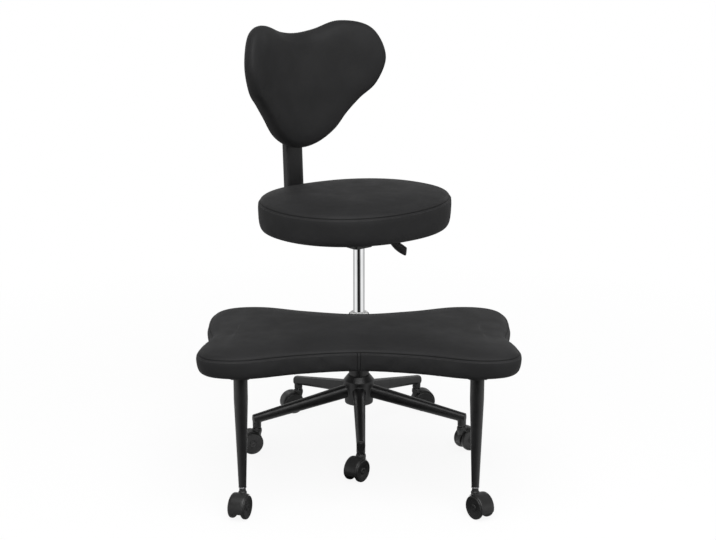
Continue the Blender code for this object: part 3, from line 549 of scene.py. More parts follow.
def fused(name, mesh, voxel, rounds):
    """One closed skin over overlapping shells, softened where they meet."""
    rough = add(name + "_shells", mesh)
    skin = rough.modifiers.new("skin", "REMESH")
    skin.mode = "VOXEL"
    skin.voxel_size = voxel
    soften = rough.modifiers.new("soften", "SMOOTH")
    soften.factor = 0.5
    soften.iterations = rounds
    return applied(name, rough)


def bolts(name, spots, head, body):
    """Hex bolts with washers. Each spot is a matrix whose Z axis points out of the surface."""
    rim = ((0.98, 0.0), (1.05, 0.0003), (1.05, 0.0010), (0.98, WASHER))
    washer = lathe([(head * share, z) for share, z in rim], 28)
    high = WASHER + head * 0.62
    rise = head * 0.08
    hexagon = lathe([(head * 0.66, 0.0011), (head * 0.66, high - rise), (head * 0.58, high)], 6)
    dish = lathe([(head * 0.50, high - rise), (head * 0.50, high), (head * 0.42, high + rise / 2)], 20)
    link(name, joined(name, (washer, hexagon, dish), spots), body, "bright_steel", sharp=30)


def facing(place, out):
    """A matrix at a place, with its Z axis along out."""
    turn = Vector(out).to_track_quat("Z", "Y").to_matrix().to_4x4()
    return Matrix.Translation(place) @ turn


# Materials


class Nodes:
    """A node tree with shorthands. An input is a number, a colour, a vector or another node's output."""

    def __init__(self, tree):
        self.tree = tree

    def node(self, kind, inputs=None, **settings):
        made = self.tree.nodes.new(kind)
        for key, value in settings.items():
            setattr(made, key, value)
        for key, value in (inputs or {}).items():
            socket = made.inputs[key]
            if isinstance(value, bpy.types.NodeSocket):
                self.join(value, socket)
            elif socket.type == "RGBA":
                socket.default_value = (*value, 1.0)
            else:
                socket.default_value = value
        return made

    def join(self, source, target):
        self.tree.links.new(source, target)

    def math(self, operation, *values):
        return self.node("ShaderNodeMath", dict(enumerate(values)), operation=operation).outputs["Value"]

    def range(self, source, low, high, to_low=0.0, to_high=1.0):
        inputs = {"Value": source, "From Min": low, "From Max": high, "To Min": to_low, "To Max": to_high}
        return self.node("ShaderNodeMapRange", inputs).outputs["Result"]

    def mix(self, factor, first, second):
        inputs = {"Factor": factor, "A": first, "B": second}
        return self.node("ShaderNodeMix", inputs, data_type="RGBA").outputs["Result"]

    def blend(self, factor, first, second):
        inputs = dict(enumerate((factor, first, second)))
        return self.node("ShaderNodeMixShader", inputs).outputs["Shader"]

    def split(self, vector):
        return self.node("ShaderNodeSeparateXYZ", {"Vector": vector}).outputs

    def tones(self, source, stops):
        """Greys along a ramp, each stop with its place and tone."""
        ramp = self.node("ShaderNodeValToRGB", {"Fac": source})
        while len(ramp.color_ramp.elements) < len(stops):
            ramp.color_ramp.elements.new(0.5)
        for stop, (place, tone) in zip(ramp.color_ramp.elements, stops):
            stop.position = place
            stop.color = (*grey(tone), 1.0)
        return ramp.outputs["Color"]


class Paint(Nodes):
    """A Principled material with shorthands for its procedural parts."""

    def __init__(self, name, roughness, metallic=0.0, specular=0.5):
        self.made = bpy.data.materials.new(name)
        self.made.use_nodes = True
        super().__init__(self.made.node_tree)
        self.shader = self.tree.nodes["Principled BSDF"]
        self.shader.inputs["Roughness"].default_value = roughness
        self.shader.inputs["Metallic"].default_value = metallic
        self.shader.inputs["Specular IOR Level"].default_value = specular
        self.place = self.node("ShaderNodeTexCoord").outputs["Object"]

    def noise(self, scale, detail=2.0, distortion=0.0, stretch=None):
        place = self.place
        if stretch:
            place = self.node("ShaderNodeMapping", {"Vector": place, "Scale": stretch}).outputs["Vector"]
        inputs = {"Vector": place, "Scale": scale, "Detail": detail, "Distortion": distortion}
        return self.node("ShaderNodeTexNoise", inputs).outputs["Fac"]

    def cells(self, scale):
        inputs = {"Vector": self.place, "Scale": scale}
        return self.node("ShaderNodeTexVoronoi", inputs).outputs["Distance"]

    def worn_edges(self, low=0.52, high=0.60):
        """0 on faces, 1 along sharp outer edges."""
        bend = self.node("ShaderNodeNewGeometry").outputs["Pointiness"]
        return self.range(bend, low, high)

    def colour(self, source):
        self.join(source, self.shader.inputs["Base Color"])

    def rough(self, source):
        self.join(source, self.shader.inputs["Roughness"])

    def bump(self, *layers):
        """Layers of (height, strength, distance), one over the other."""
        under = {}
        for height, strength, distance in layers:
            inputs = {"Height": height, "Strength": strength, "Distance": distance, **under}
            under = {"Normal": self.node("ShaderNodeBump", inputs).outputs["Normal"]}
        self.join(under["Normal"], self.shader.inputs["Normal"])


def grey(tone):
    return (tone, tone, tone)


def leather(name, dark, pale):
    paint = Paint(name, 0.6, specular=0.11)
    grain = paint.math("SUBTRACT", 1.0, paint.cells(850.0))
    pores = paint.noise(2300.0, 3.0)
    creases = paint.noise(95.0, 4.0, 1.6)
    tone = paint.math("ADD", paint.math("MULTIPLY", paint.noise(11.0, 3.0), 0.75),
                      paint.math("MULTIPLY", paint.cells(850.0), 0.35))
    base = paint.mix(paint.range(tone, 0.3, 0.75), dark, pale)
    worn = paint.mix(paint.math("MULTIPLY", paint.worn_edges(0.51, 0.56), 0.3), base,
                     (0.05, 0.05, 0.051))
    # Painted shade: the seam's points darken towards near black, standing in for the shade in the sunk seam
    seam = paint.node("ShaderNodeAttribute", attribute_name="seam").outputs["Fac"]
    paint.colour(paint.mix(paint.math("MULTIPLY", seam, 0.8), worn, grey(0.003)))
    paint.rough(paint.range(paint.math("ADD", paint.noise(23.0, 3.0), paint.math("MULTIPLY", pores, 0.3)),
                            0.4, 0.9, 0.52, 0.66))
    paint.bump((creases, 0.08, 0.0010), (grain, 0.16, 0.0004), (pores, 0.08, 0.0002))
    return paint.made


def powder_coat(name, dark, pale):
    paint = Paint(name, 0.42, specular=0.45)
    peel = paint.noise(520.0, 2.0)
    fine = paint.noise(2600.0, 2.0)
    base = paint.mix(paint.range(paint.noise(16.0, 4.0), 0.35, 0.7), dark, pale)
    paint.colour(paint.mix(paint.math("MULTIPLY", paint.worn_edges(), 0.5), base, (0.06, 0.06, 0.061)))
    paint.rough(paint.range(paint.noise(60.0, 5.0), 0.3, 0.75, 0.34, 0.46))
    paint.bump((peel, 0.10, 0.0004), (fine, 0.05, 0.0002))
    return paint.made


def moulded(name, dark, pale, low_rough, high_rough, scuffed=0.3):
    paint = Paint(name, low_rough, specular=0.5)
    spark = paint.noise(1900.0, 3.0)
    base = paint.mix(paint.range(paint.noise(30.0, 5.0), 0.35, 0.7), dark, pale)
    edge = tuple(min(1.0, 0.03 + 2.0 * c) for c in pale)
    paint.colour(paint.mix(paint.math("MULTIPLY", paint.worn_edges(), scuffed), base, edge))
    paint.rough(paint.range(paint.noise(90.0, 5.0), 0.3, 0.75, low_rough, high_rough))
    paint.bump((spark, 0.10, 0.0002))
    return paint.made


def metal(name, dark, pale, low_rough, high_rough, stretch):
    paint = Paint(name, low_rough, metallic=1.0)
    lines = paint.noise(240.0, 4.0, 0.0, stretch)
    paint.colour(paint.mix(paint.range(paint.noise(45.0, 5.0), 0.3, 0.7), dark, pale))
    paint.rough(paint.range(lines, 0.3, 0.7, low_rough, high_rough))
    paint.bump((lines, 0.03, 0.0001))
    return paint.made


def plywood(name):
    paint = Paint(name, 0.65, specular=0.3)
    rings = paint.noise(60.0, 4.0, 1.2, (1.0, 9.0, 9.0))
    pores = paint.noise(700.0, 2.0, 0.0, (1.0, 14.0, 14.0))
    base = paint.mix(paint.range(rings, 0.3, 0.7), (0.34, 0.21, 0.11), (0.52, 0.36, 0.21))
    paint.colour(paint.mix(paint.range(pores, 0.58, 0.72, 0.0, 0.6), base, (0.20, 0.12, 0.06)))
    paint.bump((rings, 0.15, 0.0004), (pores, 0.2, 0.0003))
    return paint.made


def woven(name, dark, pale):
    paint = Paint(name, 0.85, specular=0.2)
    both = paint.math("MAXIMUM", paint.noise(900.0, 1.0, 0.0, (1.0, 6.0, 6.0)),
                      paint.noise(900.0, 1.0, 0.0, (6.0, 1.0, 6.0)))
    paint.colour(paint.mix(paint.range(both, 0.4, 0.75), dark, pale))
    paint.bump((both, 0.3, 0.0003))
    paint.shader.inputs["Sheen Weight"].default_value = 0.1
    return paint.made


PAINTS = {
    "leather": leather("leather_hide", (0.0195, 0.0195, 0.0200), (0.0275, 0.0275, 0.0282)),
    "black_paint": powder_coat("powder_coat", (0.0085, 0.0085, 0.0088), (0.013, 0.013, 0.0134)),
    "black_steel": powder_coat("black_oxide", (0.016, 0.016, 0.016), (0.028, 0.028, 0.029)),
    "bright_steel": metal("zinc_plate", (0.48, 0.48, 0.50), (0.62, 0.62, 0.63), 0.24, 0.40, (1, 1, 12)),
    "chrome": metal("chrome_plate", (0.86, 0.865, 0.87), (0.92, 0.925, 0.93), 0.02, 0.045, (1, 1, 20)),
    "black_plastic": moulded("lever_plastic", grey(0.016), grey(0.025), 0.42, 0.55),
    "pale_plastic": moulded("bush_plastic", (0.84, 0.84, 0.83), (0.90, 0.90, 0.89), 0.36, 0.48),
    "caster_hood": moulded("hood_nylon", grey(0.015), grey(0.023), 0.36, 0.48),
    "caster_wheel": moulded("wheel_nylon", grey(0.008), grey(0.013), 0.42, 0.58, 0.5),
    "caster_steel": metal("stem_steel", (0.48, 0.48, 0.49), (0.60, 0.60, 0.61), 0.22, 0.38, (1, 1, 12)),
    "plywood": plywood("raw_plywood"),
}
THREAD = moulded("seam_thread", (0.040, 0.040, 0.041), (0.060, 0.060, 0.061), 0.6, 0.75, 0.1)
DUST_COVER = woven("dust_cover_weave", grey(0.010), grey(0.022))


# CAD pieces keep their shape and get their finish, with small rounded edges

SLOTS = {piece["node"]: piece["material_slot"] for piece in frame["record"]["subparts"]}
EDGE_ROUND = 0.0005
WIDER_ROUNDS = {"back_bar": 0.0022, "stand_tube": 0.001, "footrest_bracket": 0.0015, "seat_plate": 0.001}


def dress(node, made):
    slot = SLOTS[node]
    made.data.materials.clear()
    made.data.materials.append(PAINTS[slot])
    if "custom_normal" in made.data.attributes:
        made.data.attributes.remove(made.data.attributes["custom_normal"])
    made.data.shade_smooth()
    weld = made.modifiers.new("weld", "WELD")
    weld.merge_threshold = 1e-5
    edges = made.modifiers.new("edges", "BEVEL")
    edges.width = WIDER_ROUNDS.get(node, EDGE_ROUND)
    edges.segments = 2
    edges.limit_method = "ANGLE"
    edges.angle_limit = math.radians(35)
    shading = made.modifiers.new("shading", "WEIGHTED_NORMAL")
    shading.keep_sharp = True


for node, made in frame["nodes"].items():
    dress(node, made)


# Cushions


def seat_place(x, y, height):
    """A point of the seat pad, whose ends stand a little higher than its middle above the board."""
    point = SEAT_FRAME @ Vector((x, y + SEAT_OFFSET, SEAT_Z + height))
    share = (point.x - SEAT_MIDDLE.x) / SEAT_HALF_WIDTH
    lift = SEAT_TILT * share + SEAT_DISH * (share ** 2 - DISH_LEVEL)
    point.z += lift * min(max(height / BOARD_THICKNESS, 0.0), 1.0)
    return point


def foot_place(x, y, height):
    return COLUMN @ Vector((x, y + FOOT_CENTRE_Y, FOOT_Z + height))


def bar_front_y(z):
    return BAR_DISTANCE + (z - BAR_RISE_Z) * math.tan(BACK_LEAN) - BAR_DEPTH / 2


def back_place(across, up, depth):
    z = BACK_Z + HEART_MIDDLE * BACK_HEIGHT + up - HEART_SHEAR * across
    x = across + HEART_SHIFT
    forward = depth + BACK_WRAP * (x / BACK_HALF_WIDTH) ** 2
    return SEAT_FRAME @ Vector((x, bar_front_y(z) - 2 * TOUCH_GAP - forward, z))


def flat_profiles(band, crown, edge):
    """Profiles of a flat pad, from under its board to the seam and from there to its middle."""
    slack = START_SHRINK
    low = [
        (UNDERSIDE_SHARE, 0.0),
        (0.982, 0.3 * edge * band),
        (0.996 - slack, edge * band),
        (0.997 - slack, 0.50 * band),
        (1.0 - slack, 0.78 * band),
        (0.995 - slack, 0.94 * band),
        (0.984, band),
    ]
    top = [
        (0.984, band),
        (0.967, band + 0.27 * crown),
        (0.935, band + 0.46 * crown),
        (0.82, band + 0.72 * crown),
        (0.55, band + 0.91 * crown),
        (0.25, band + 0.985 * crown),
        (0.0, band + crown),
    ]
    return low, top


seat_outline = oval(SEAT_HALF_WIDTH, SEAT_HALF_DEPTH, SEAT_ROUNDNESS, SEAT_COLUMNS)
seat_profiles = flat_profiles(SEAT_BAND, SEAT_CROWN, SEAT_EDGE)
seat = Pad("seat_pad", seat_outline, *seat_profiles, BOARD_THICKNESS + TOUCH_GAP, seat_place)
seat.inflate()
seat.finish("seat", "seat_cushion")
seat.topstitch("seat_topstitch", -2, "seat")

foot_curve = mirrored_loop(FOOT_BACK, FOOT_HALF, FOOT_FRONT) * (FOOT_HALF_WIDTH, FOOT_HALF_DEPTH)
foot_length = float(np.sum(np.linalg.norm(np.diff(foot_curve, axis=0, append=foot_curve[:1]), axis=1)))
front_marks = [foot_length / 2 + side * DOUBLE_SEAM / 2 + step for side in (-1, 1)
               for step in (-SEAM_FLANK, 0, SEAM_FLANK)]
foot_outline = even_loop(foot_curve, FOOT_COLUMNS, front_marks)
at_back = foot_outline[:, 1] > 0
front_columns = [int(np.argmin(np.abs(foot_outline[:, 0] - side * DOUBLE_SEAM / 2) + at_back))
                 for side in (-1, 1)]
foot_profiles = flat_profiles(FOOT_BAND, FOOT_CROWN, FOOT_EDGE)
foot = Pad("footrest_pad", foot_outline, *foot_profiles, BOARD_THICKNESS + TOUCH_GAP, foot_place)
front_seams = [n for number in front_columns for n in foot.column(number, STAPLED_RINGS, foot.seam - 1)]
foot.inflate(front_seams)
foot.finish("footrest", "footrest_cushion", front_seams)
foot.topstitch("footrest_topstitch", -2, "footrest")

# The heart's section, as (share of the outline, part of the thickness) to the seam and on to the middle
HEART_LOW = [(UNDERSIDE_SHARE, 0.0), (0.978, 0.06)]
HEART_TOP = [
    (0.978, 0.06),
    (0.992, 0.18),
    (0.997, 0.32),
    (0.992, 0.46),
    (0.974, 0.60),
    (0.940, 0.725),
    (0.885, 0.825),
    (0.80, 0.90),
    (0.62, 0.96),
    (0.30, 0.99),
    (0.0, 1.0),
]
heart_shares = mirrored_loop(HEART_NOTCH, HEART_HALF, HEART_TIP)
heart_sizes = (heart_shares - (0, HEART_MIDDLE)) * (BACK_HALF_WIDTH, BACK_HEIGHT) * HEART_EASE
heart_outline = even_loop(heart_sizes, HEART_COLUMNS)
heart_profiles = [[(share, part * BACK_THICKNESS) for share, part in half] for half in (HEART_LOW, HEART_TOP)]
heart = Pad("back_pad", heart_outline, *heart_profiles, BACK_BOARD_THICKNESS + TOUCH_GAP, back_place)
heart.inflate()
heart.finish("seat", "back_cushion")
heart.topstitch("back_topstitch", 2, "seat")


# Undersides, fasteners and small fittings

DOWN = (0, 0, -1)
COVER_SHARE = 0.947
STAPLE_SHARE = 0.938
COVER_COLUMNS = 160
COVER_GAP = 0.00015
PLATE_THICKNESS = 0.003
PLATE_BOLTS = (0.080, 0.055)
BAR_SEAT_BOLTS = (0.110, 0.168)
BAR_BACK_BOLTS = (0.745, 0.800, 0.855)
LEG_SPOT = (0.2583, -0.485)
LEG_SCREW_CIRCLE = 0.0235
ARM_THICKNESS = 0.006
ARM_BOLT_X = 0.018
ARM_BOLT_Y = (-0.20, -0.34)
WASHER = 0.0013
M6_HEAD = 0.0080
M5_HEAD = 0.0062
LOW_HEAD = Matrix.Diagonal((1, 1, 0.5, 1))


def cover(name, outline, share, place, depth, body, slot, paint=None):
    """A stretched sheet over the underside of a pad, cut to the pad's outline."""
    grid = coons(even_loop(outline, COVER_COLUMNS) * share)
    k = COVER_COLUMNS // 4 + 1
    verts = [place(x, y, -depth) for x, y in grid.reshape(-1, 2)]
    faces = [(i * k + j, i * k + j + 1, (i + 1) * k + j + 1, (i + 1) * k + j)
             for i in range(k - 1) for j in range(k - 1)]
    made = link(name, mesh_from(name, verts, faces), body, slot, paint)


def staples(name, outline, place, body):
    points = np.array([place(x, y, -COVER_GAP) for x, y in outline * STAPLE_SHARE])
    out = np.tile(np.array(DOWN, dtype=float), (len(points), 1))
    threads(name, points, out, STAPLE, body, "bright_steel")


for body, outline, place in (("seat", seat_outline, seat_place), ("footrest", foot_outline, foot_place)):
    cover(body + "_dust_cover", outline, COVER_SHARE, place, COVER_GAP, body,
          "black_plastic", DUST_COVER)
    staples(body + "_staples", outline, place, body)
cover("back_panel", heart_outline, UNDERSIDE_SHARE, back_place, TOUCH_GAP, "seat", "leather")

plate_foot = SEAT_Z - TOUCH_GAP - PLATE_THICKNESS
plate_spots = [SEAT_FRAME @ facing((sx * PLATE_BOLTS[0], sy * PLATE_BOLTS[1], plate_foot), DOWN)
               for sx in (-1, 1) for sy in (-1, 1)]
bar_foot = BAR_Z - BAR_DEPTH / 2
plate_spots += [SEAT_FRAME @ facing((0, y, bar_foot), DOWN) for y in BAR_SEAT_BOLTS]
bar_out = (0, math.cos(BACK_LEAN), -math.sin(BACK_LEAN))
plate_spots += [SEAT_FRAME @ facing((0, bar_front_y(z) + BAR_DEPTH / math.cos(BACK_LEAN), z), bar_out)
                for z in BAR_BACK_BOLTS]
bolts("seat_bolts", plate_spots, M6_HEAD, "seat")

arm_foot = FOOT_Z - TOUCH_GAP - ARM_THICKNESS
foot_spots = [COLUMN @ facing((sx * ARM_BOLT_X, y, arm_foot), DOWN) for sx in (-1, 1) for y in ARM_BOLT_Y]
bolts("footrest_bolts", foot_spots, M6_HEAD, "footrest")
leg_spots = []
for sx in (-1, 1):
    for quarter in range(4):
        angle = math.pi / 4 + quarter * math.pi / 2
        x = sx * LEG_SPOT[0] + LEG_SCREW_CIRCLE * math.cos(angle)
        y = LEG_SPOT[1] + LEG_SCREW_CIRCLE * math.sin(angle)
        leg_spots.append(COLUMN @ facing((x, y, plate_foot - SEAT_Z + FOOT_Z), DOWN) @ LOW_HEAD)
bolts("leg_screws", leg_spots, M5_HEAD, "footrest")


# Base, casters, lever and small fittings, with softer forms than the solids that they stand for

RUN_GAP = 0.0004
TRAIL = 0.017
WHEEL_RADIUS = 0.027
WHEEL_SIDES = 72
WEB_HALF = 0.0071
WEB_RADIUS = 0.015
HOOD_RADIUS = 0.0302
HOOD_HALF = 0.0176
HOOD_WALL = 0.0023
HOOD_ANGLES = np.radians(np.linspace(-17, 125, 36))
HOOD_TOP = WHEEL_RADIUS + HOOD_RADIUS
BASE_NECK = 0.0040
LEG_NECK = 0.0065
FINE_VOXEL = 0.0008
BASE_VOXEL = 0.0013
BASE_NAMES = ("front", "front_right", "back_right", "back_left", "front_left")
LEG_NAMES = ("leg_left", "leg_right")


def middle(node):
    low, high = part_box(node)
    return (low + high) / 2


def swivel(name):
    """A caster's own frame: on the floor under its stem, with X the way that it trails."""
    stem, axle = middle(f"caster_{name}_stem"), middle(f"caster_{name}_axle")
    turn = math.atan2(axle.y - stem.y, axle.x - stem.x)
    return Matrix.Translation((stem.x, stem.y, 0)) @ Matrix.Rotation(turn, 4, "Z")


def wheel_shell():
    """A wheel along Z, inner face at 0: chamfered tread, rim, dished disc and hub cap with a dimple."""
    r = WHEEL_RADIUS
    tread = [(0.0032, 0.0003), (r - 0.007, 0.0003), (r - 0.0042, 0.0009), (r - 0.0020, 0.0023),
             (r - 0.0006, 0.0040), (r, 0.0057), (r, 0.0096), (r - 0.0004, 0.0109), (r - 0.0012, 0.0119),
             (r - 0.0022, 0.0124)]
    rim = [(r - 0.0034, 0.0125), (r - 0.0043, 0.0121), (r - 0.0047, 0.0113), (r - 0.0056, 0.0109)]
    cap = [(0.0098, 0.0111), (0.0092, 0.0107), (0.0086, 0.0107), (0.0082, 0.0114), (0.0074, 0.0122),
           (0.0060, 0.0125), (0.0026, 0.0125), (0.0020, 0.0121), (0.0012, 0.0119)]
    return lathe(tread + rim + cap, WHEEL_SIDES)


def hood_shells(neck):
    """The hood's curved roof, the web between the wheels and the neck on the stem."""
    spans = np.linspace(-1, 1, 17)
    section = [(HOOD_HALF * s, HOOD_RADIUS - 0.0013 * s ** 8) for s in spans]
    section += [(HOOD_HALF * s, HOOD_RADIUS - HOOD_WALL - 0.0002 * s ** 2) for s in spans[::-1]]
    roof = [[(TRAIL + r * math.cos(a), y, WHEEL_RADIUS + r * math.sin(a)) for y, r in section]
            for a in HOOD_ANGLES]
    upper = [(angle, HOOD_RADIUS - HOOD_WALL / 2) for angle in np.radians(np.linspace(-11, 192, 40))]
    lower = [(angle, WEB_RADIUS) for angle in np.radians(np.linspace(215, 325, 16))]
    side = [(TRAIL + r * math.cos(a), WHEEL_RADIUS + r * math.sin(a)) for a, r in upper + lower]
    web = [[(x, y, z) for x, z in side] for y in (WEB_HALF, -WEB_HALF)]
    return [swept(roof), swept(web), lathe([(r, HOOD_TOP + z) for r, z in neck], 48)]


base_neck = [(0.0085, -0.020), (0.0122, -0.0040), (0.0118, 0.0006), (0.0112, BASE_NECK - 0.0010),
             (0.0104, BASE_NECK)]
leg_neck = [(0.0080, -0.020), (0.0098, -0.0025), (0.0078, 0.0010), (0.0074, LEG_NECK - 0.0008),
            (0.0068, LEG_NECK)]
wheel = wheel_shell()
for names, neck in ((BASE_NAMES, base_neck), (LEG_NAMES, leg_neck)):
    hood = fused("hood", joined("hood", hood_shells(neck)), FINE_VOXEL, 3)
    for name in names:
        body = "caster_" + name
        cover_mesh = hood.copy()
        cover_mesh.transform(swivel(name))
        made = link(body + "_cover", cover_mesh, body, "caster_hood")
        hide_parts(body + "_hood")
        for sign, letter in ((-1, "a"), (1, "b")):
            hub = Vector((TRAIL, sign * (WEB_HALF + RUN_GAP), WHEEL_RADIUS))
            place = swivel(name) @ Matrix.Translation(hub) @ Matrix.Rotation(-sign * math.pi / 2, 4, "X")
            roller = joined(body + "_roller_" + letter, [wheel], [place])
            made = link(roller.name, roller, f"{body}_wheel_{letter}", "caster_wheel", sharp=50)
            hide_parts(f"{body}_wheel_{letter}")

TUBE_RADIUS = 0.025
TUBE_FOOT_RADIUS = 0.0236
BORE_GAP = 0.0007
SOCKET_RADIUS = 0.0106
SOCKET_FOOT_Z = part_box("star_base")[0].z
ARM_TIP_Z = 0.0856
ARM_ROOT_Z = ARM_TIP_Z + 0.0455
HUB_FOOT_Z = ARM_ROOT_Z - 0.033
HUB_SHOULDER_Z = ARM_ROOT_Z + 0.026
HUB_TOP_Z = HUB_SHOULDER_Z + 0.014
HUB_RADIUS = 0.0385
HUB_FOOT_RADIUS = 0.035
HUB_BAND = 0.007
HUB_RIM = 0.0020
SOCKET_TOP_Z = ARM_TIP_Z + 0.004
ARM_START = 0.030
ARM_END_INSET = 0.0012
ARM_TAPER_INSET = 0.0025
ARM_ROOT = (0.0312, 0.0335)
ARM_TIP = (0.0214, 0.0230)
ARM_ROUNDNESS = 2.6
ARM_STEPS = 24


def arm_shell(reach):
    """A tapered arm along X with a blunt rounded end over the caster's socket."""
    rings = []
    end = reach + SOCKET_RADIUS - ARM_END_INSET
    for share in np.linspace(0, 1, ARM_STEPS):
        x = ARM_START + share * (end - ARM_START)
        along = (x - ARM_START) / (reach - ARM_TAPER_INSET - ARM_START)
        width, height = (root + min(along, 1.0) * (tip - root) for root, tip in zip(ARM_ROOT, ARM_TIP))
        z = ARM_ROOT_Z + along * (ARM_TIP_Z - ARM_ROOT_Z)
        section = oval(width / 2, height / 2, ARM_ROUNDNESS, 40)
        rings.append([(x, y, z + dz) for y, dz in section])
    return swept(rings)


def moved(shell, place):
    return [place @ v for v in shell[0]], shell[1]


def base_mesh():
    bore = [(TUBE_FOOT_RADIUS + BORE_GAP, HUB_FOOT_Z), (TUBE_RADIUS + BORE_GAP, HUB_TOP_Z)]
    outside = [(TUBE_RADIUS + BORE_GAP + HUB_RIM, HUB_TOP_Z), (HUB_RADIUS, HUB_SHOULDER_Z),
               (HUB_RADIUS, HUB_SHOULDER_Z - HUB_BAND), (HUB_FOOT_RADIUS, HUB_FOOT_Z)]
    socket = lathe([(SOCKET_RADIUS, SOCKET_FOOT_Z), (SOCKET_RADIUS, SOCKET_TOP_Z)], 48)
    shells = [moved(collar(bore + outside, 96), COLUMN)]
    for name in BASE_NAMES:
        spot = middle(f"caster_{name}_stem") - Vector((0, COLUMN_Y, 0))
        reach, angle = math.hypot(spot.x, spot.y), math.atan2(spot.y, spot.x)
        place = COLUMN @ Matrix.Rotation(angle, 4, "Z")
        for shell in (arm_shell(reach), moved(socket, Matrix.Translation((reach, 0, 0)))):
            shells.append(moved(shell, place))
    return joined("base_shells", shells)


star = link("base_casting", fused("base_casting", base_mesh(), BASE_VOXEL, 4), "base", "black_paint")
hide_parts("star_base")

LEVER_Z = SEAT_Z - TOUCH_GAP - 0.0115
LEVER_BEND = Vector((0.052, 0, LEVER_Z))
LEVER_END = Vector((0.110, -0.048, LEVER_Z - 0.0545))
GRIP_LENGTH = 0.062
GRIP_RISE = 0.0072
GRIP_SHEAR = 0.60
GRIP_SHEAR_LEVEL = 0.0015
GRIP_ROUNDNESS = 4
GRIP_SECTIONS = (
    (0.0, 0.0136, 0.0136),
    (0.01, 0.0142, 0.0142),
    (0.28, 0.0142, 0.0142),
    (0.42, 0.0146, 0.0172),
    (0.58, 0.0150, 0.0204),
    (0.74, 0.0150, 0.0212),
    (0.92, 0.0148, 0.0196),
    (0.98, 0.0134, 0.0180),
    (1.0, 0.0100, 0.0146),
)


def grip_mesh():
    """The lever's plastic grip: a square neck that widens downward into a flat paddle."""
    along = (LEVER_END - LEVER_BEND).normalized()
    across = Vector((-along.y, along.x, 0)).normalized()
    up = along.cross(across).normalized()
    rings = []
    for share, width, height in GRIP_SECTIONS:
        half = height / 2
        centre = LEVER_END + along * ((share - 1) * GRIP_LENGTH) + up * (GRIP_RISE - half)
        shear = GRIP_SHEAR * max(0.0, share - 0.5) * 2
        rings.append([centre + across * a + up * b + along * shear * (half - b - GRIP_SHEAR_LEVEL)
                      for a, b in oval(width / 2, half, GRIP_ROUNDNESS, 36)])
    return joined("lever_grip", [swept(rings)], [SEAT_FRAME])


grip = link("lever_grip", grip_mesh(), "lever", "black_plastic")
soften = grip.modifiers.new("soften", "SUBSURF")
soften.levels = soften.render_levels = 1
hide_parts("lever_paddle")

BOX_FOOT_Z = SEAT_Z - TOUCH_GAP - 0.041
PAN_DEPTH = 0.0080
PAN_HALF = (0.0285, 0.0225)
PAN_ROUNDNESS = 6
PAN_HOLE = 0.0150
PAN_GAP = 0.0001
PAN_EDGE = 0.0015
pan_outer = oval(*PAN_HALF, PAN_ROUNDNESS, 96)
pan_angles = np.arctan2(pan_outer[:, 1], pan_outer[:, 0])
pan_inner = np.column_stack([np.cos(pan_angles), np.sin(pan_angles)]) * PAN_HOLE
pan_rings = [(pan_outer, -PAN_GAP), (pan_outer, -PAN_DEPTH + PAN_EDGE), (pan_outer * 0.97, -PAN_DEPTH),
             (pan_inner, -PAN_DEPTH), (pan_inner, -PAN_GAP)]
pan = swept([[(x, y, BOX_FOOT_Z + z) for x, y in ring] for ring, z in pan_rings], True)
link("mechanism_pan", joined("mechanism_pan", [pan], [SEAT_FRAME]), "seat", "black_paint", sharp=40)

# Sections of the ring at a leg's foot and of the clip under the gas lift, as (radius, z)
FERRULE = [(0.0084, 0.0002), (0.0088, 0.0002), (0.0090, 0.0006), (0.0090, 0.0019), (0.0088, 0.0023),
           (0.0084, 0.0023)]
CLIP = [(0.0036, -0.0062), (0.0048, -0.0052), (0.0048, -0.0032), (0.0082, -0.0030), (0.0086, -0.0026),
        (0.0086, -0.0016), (0.0116, -0.0014), (0.0120, -0.0010), (0.0120, -0.0002)]
ferrule_spots = [Matrix.Translation((*middle(f"caster_{name}_stem").xy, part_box(name)[0].z))
                 for name in LEG_NAMES]
ferrules = joined("leg_ferrules", [collar(FERRULE, 48)], ferrule_spots)
link("leg_ferrules", ferrules, "footrest", "bright_steel")
clip_spot = COLUMN @ Matrix.Translation((0, 0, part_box("stand_tube")[0].z))
clip = joined("lift_clip", [lathe(CLIP, 48)], [clip_spot])
link("lift_clip", clip, "lift_rod", "bright_steel", sharp=40)


# Room and camera

FILL = 0.55
FLOOR_SIZE = 60.0
FLOOR_GLOW = (0.90, 1.0)
GLOW_REACH = (0.8, 1.9)
FLOOR_BOUNCE = 0.24
FLOOR_WHITE = 0.92

# (place, tone) of what shiny surfaces mirror: the floor from front to back, the sky from below to above
FLOOR_TONES = ((0.0, 0.004), (0.085, 0.010), (0.13, 0.17), (0.215, 0.68), (0.32, 0.98), (0.42, 0.98),
               (0.55, 0.60), (0.66, 0.48), (0.80, 0.44), (1.0, 0.30))
SKY_TONES = ((0.0, 0.75), (0.20, 0.70), (0.32, 0.40), (0.46, 0.14), (0.75, 0.10), (1.0, 0.18))

# Name, place, target, size and power of each lamp
LAMPS = (
    ("overhead", (0.2, -1.9, 3.2), (0.0, 0.0, 0.5), (3.2, 3.2), 96),
    ("front_key", (0.9, -3.2, 2.1), (0.0, 0.0, 0.6), (1.8, 1.8), 16),
    ("rim_strip", (-1.4, 3.0, 1.6), (0.0, 0.0, 0.2), (0.5, 1.4), 3.0),
    ("rim_strip", (1.4, 3.0, 1.6), (0.0, 0.0, 0.2), (0.5, 1.4), 3.0),
)

# Pieces that shiny surfaces don't mirror
NOT_MIRRORED = ("footrest_pad", "footrest_topstitch", "footrest_dust_cover", "footrest_staples",
                "footrest_bolts", "footrest_board", "footrest_bracket", "leg_screws")


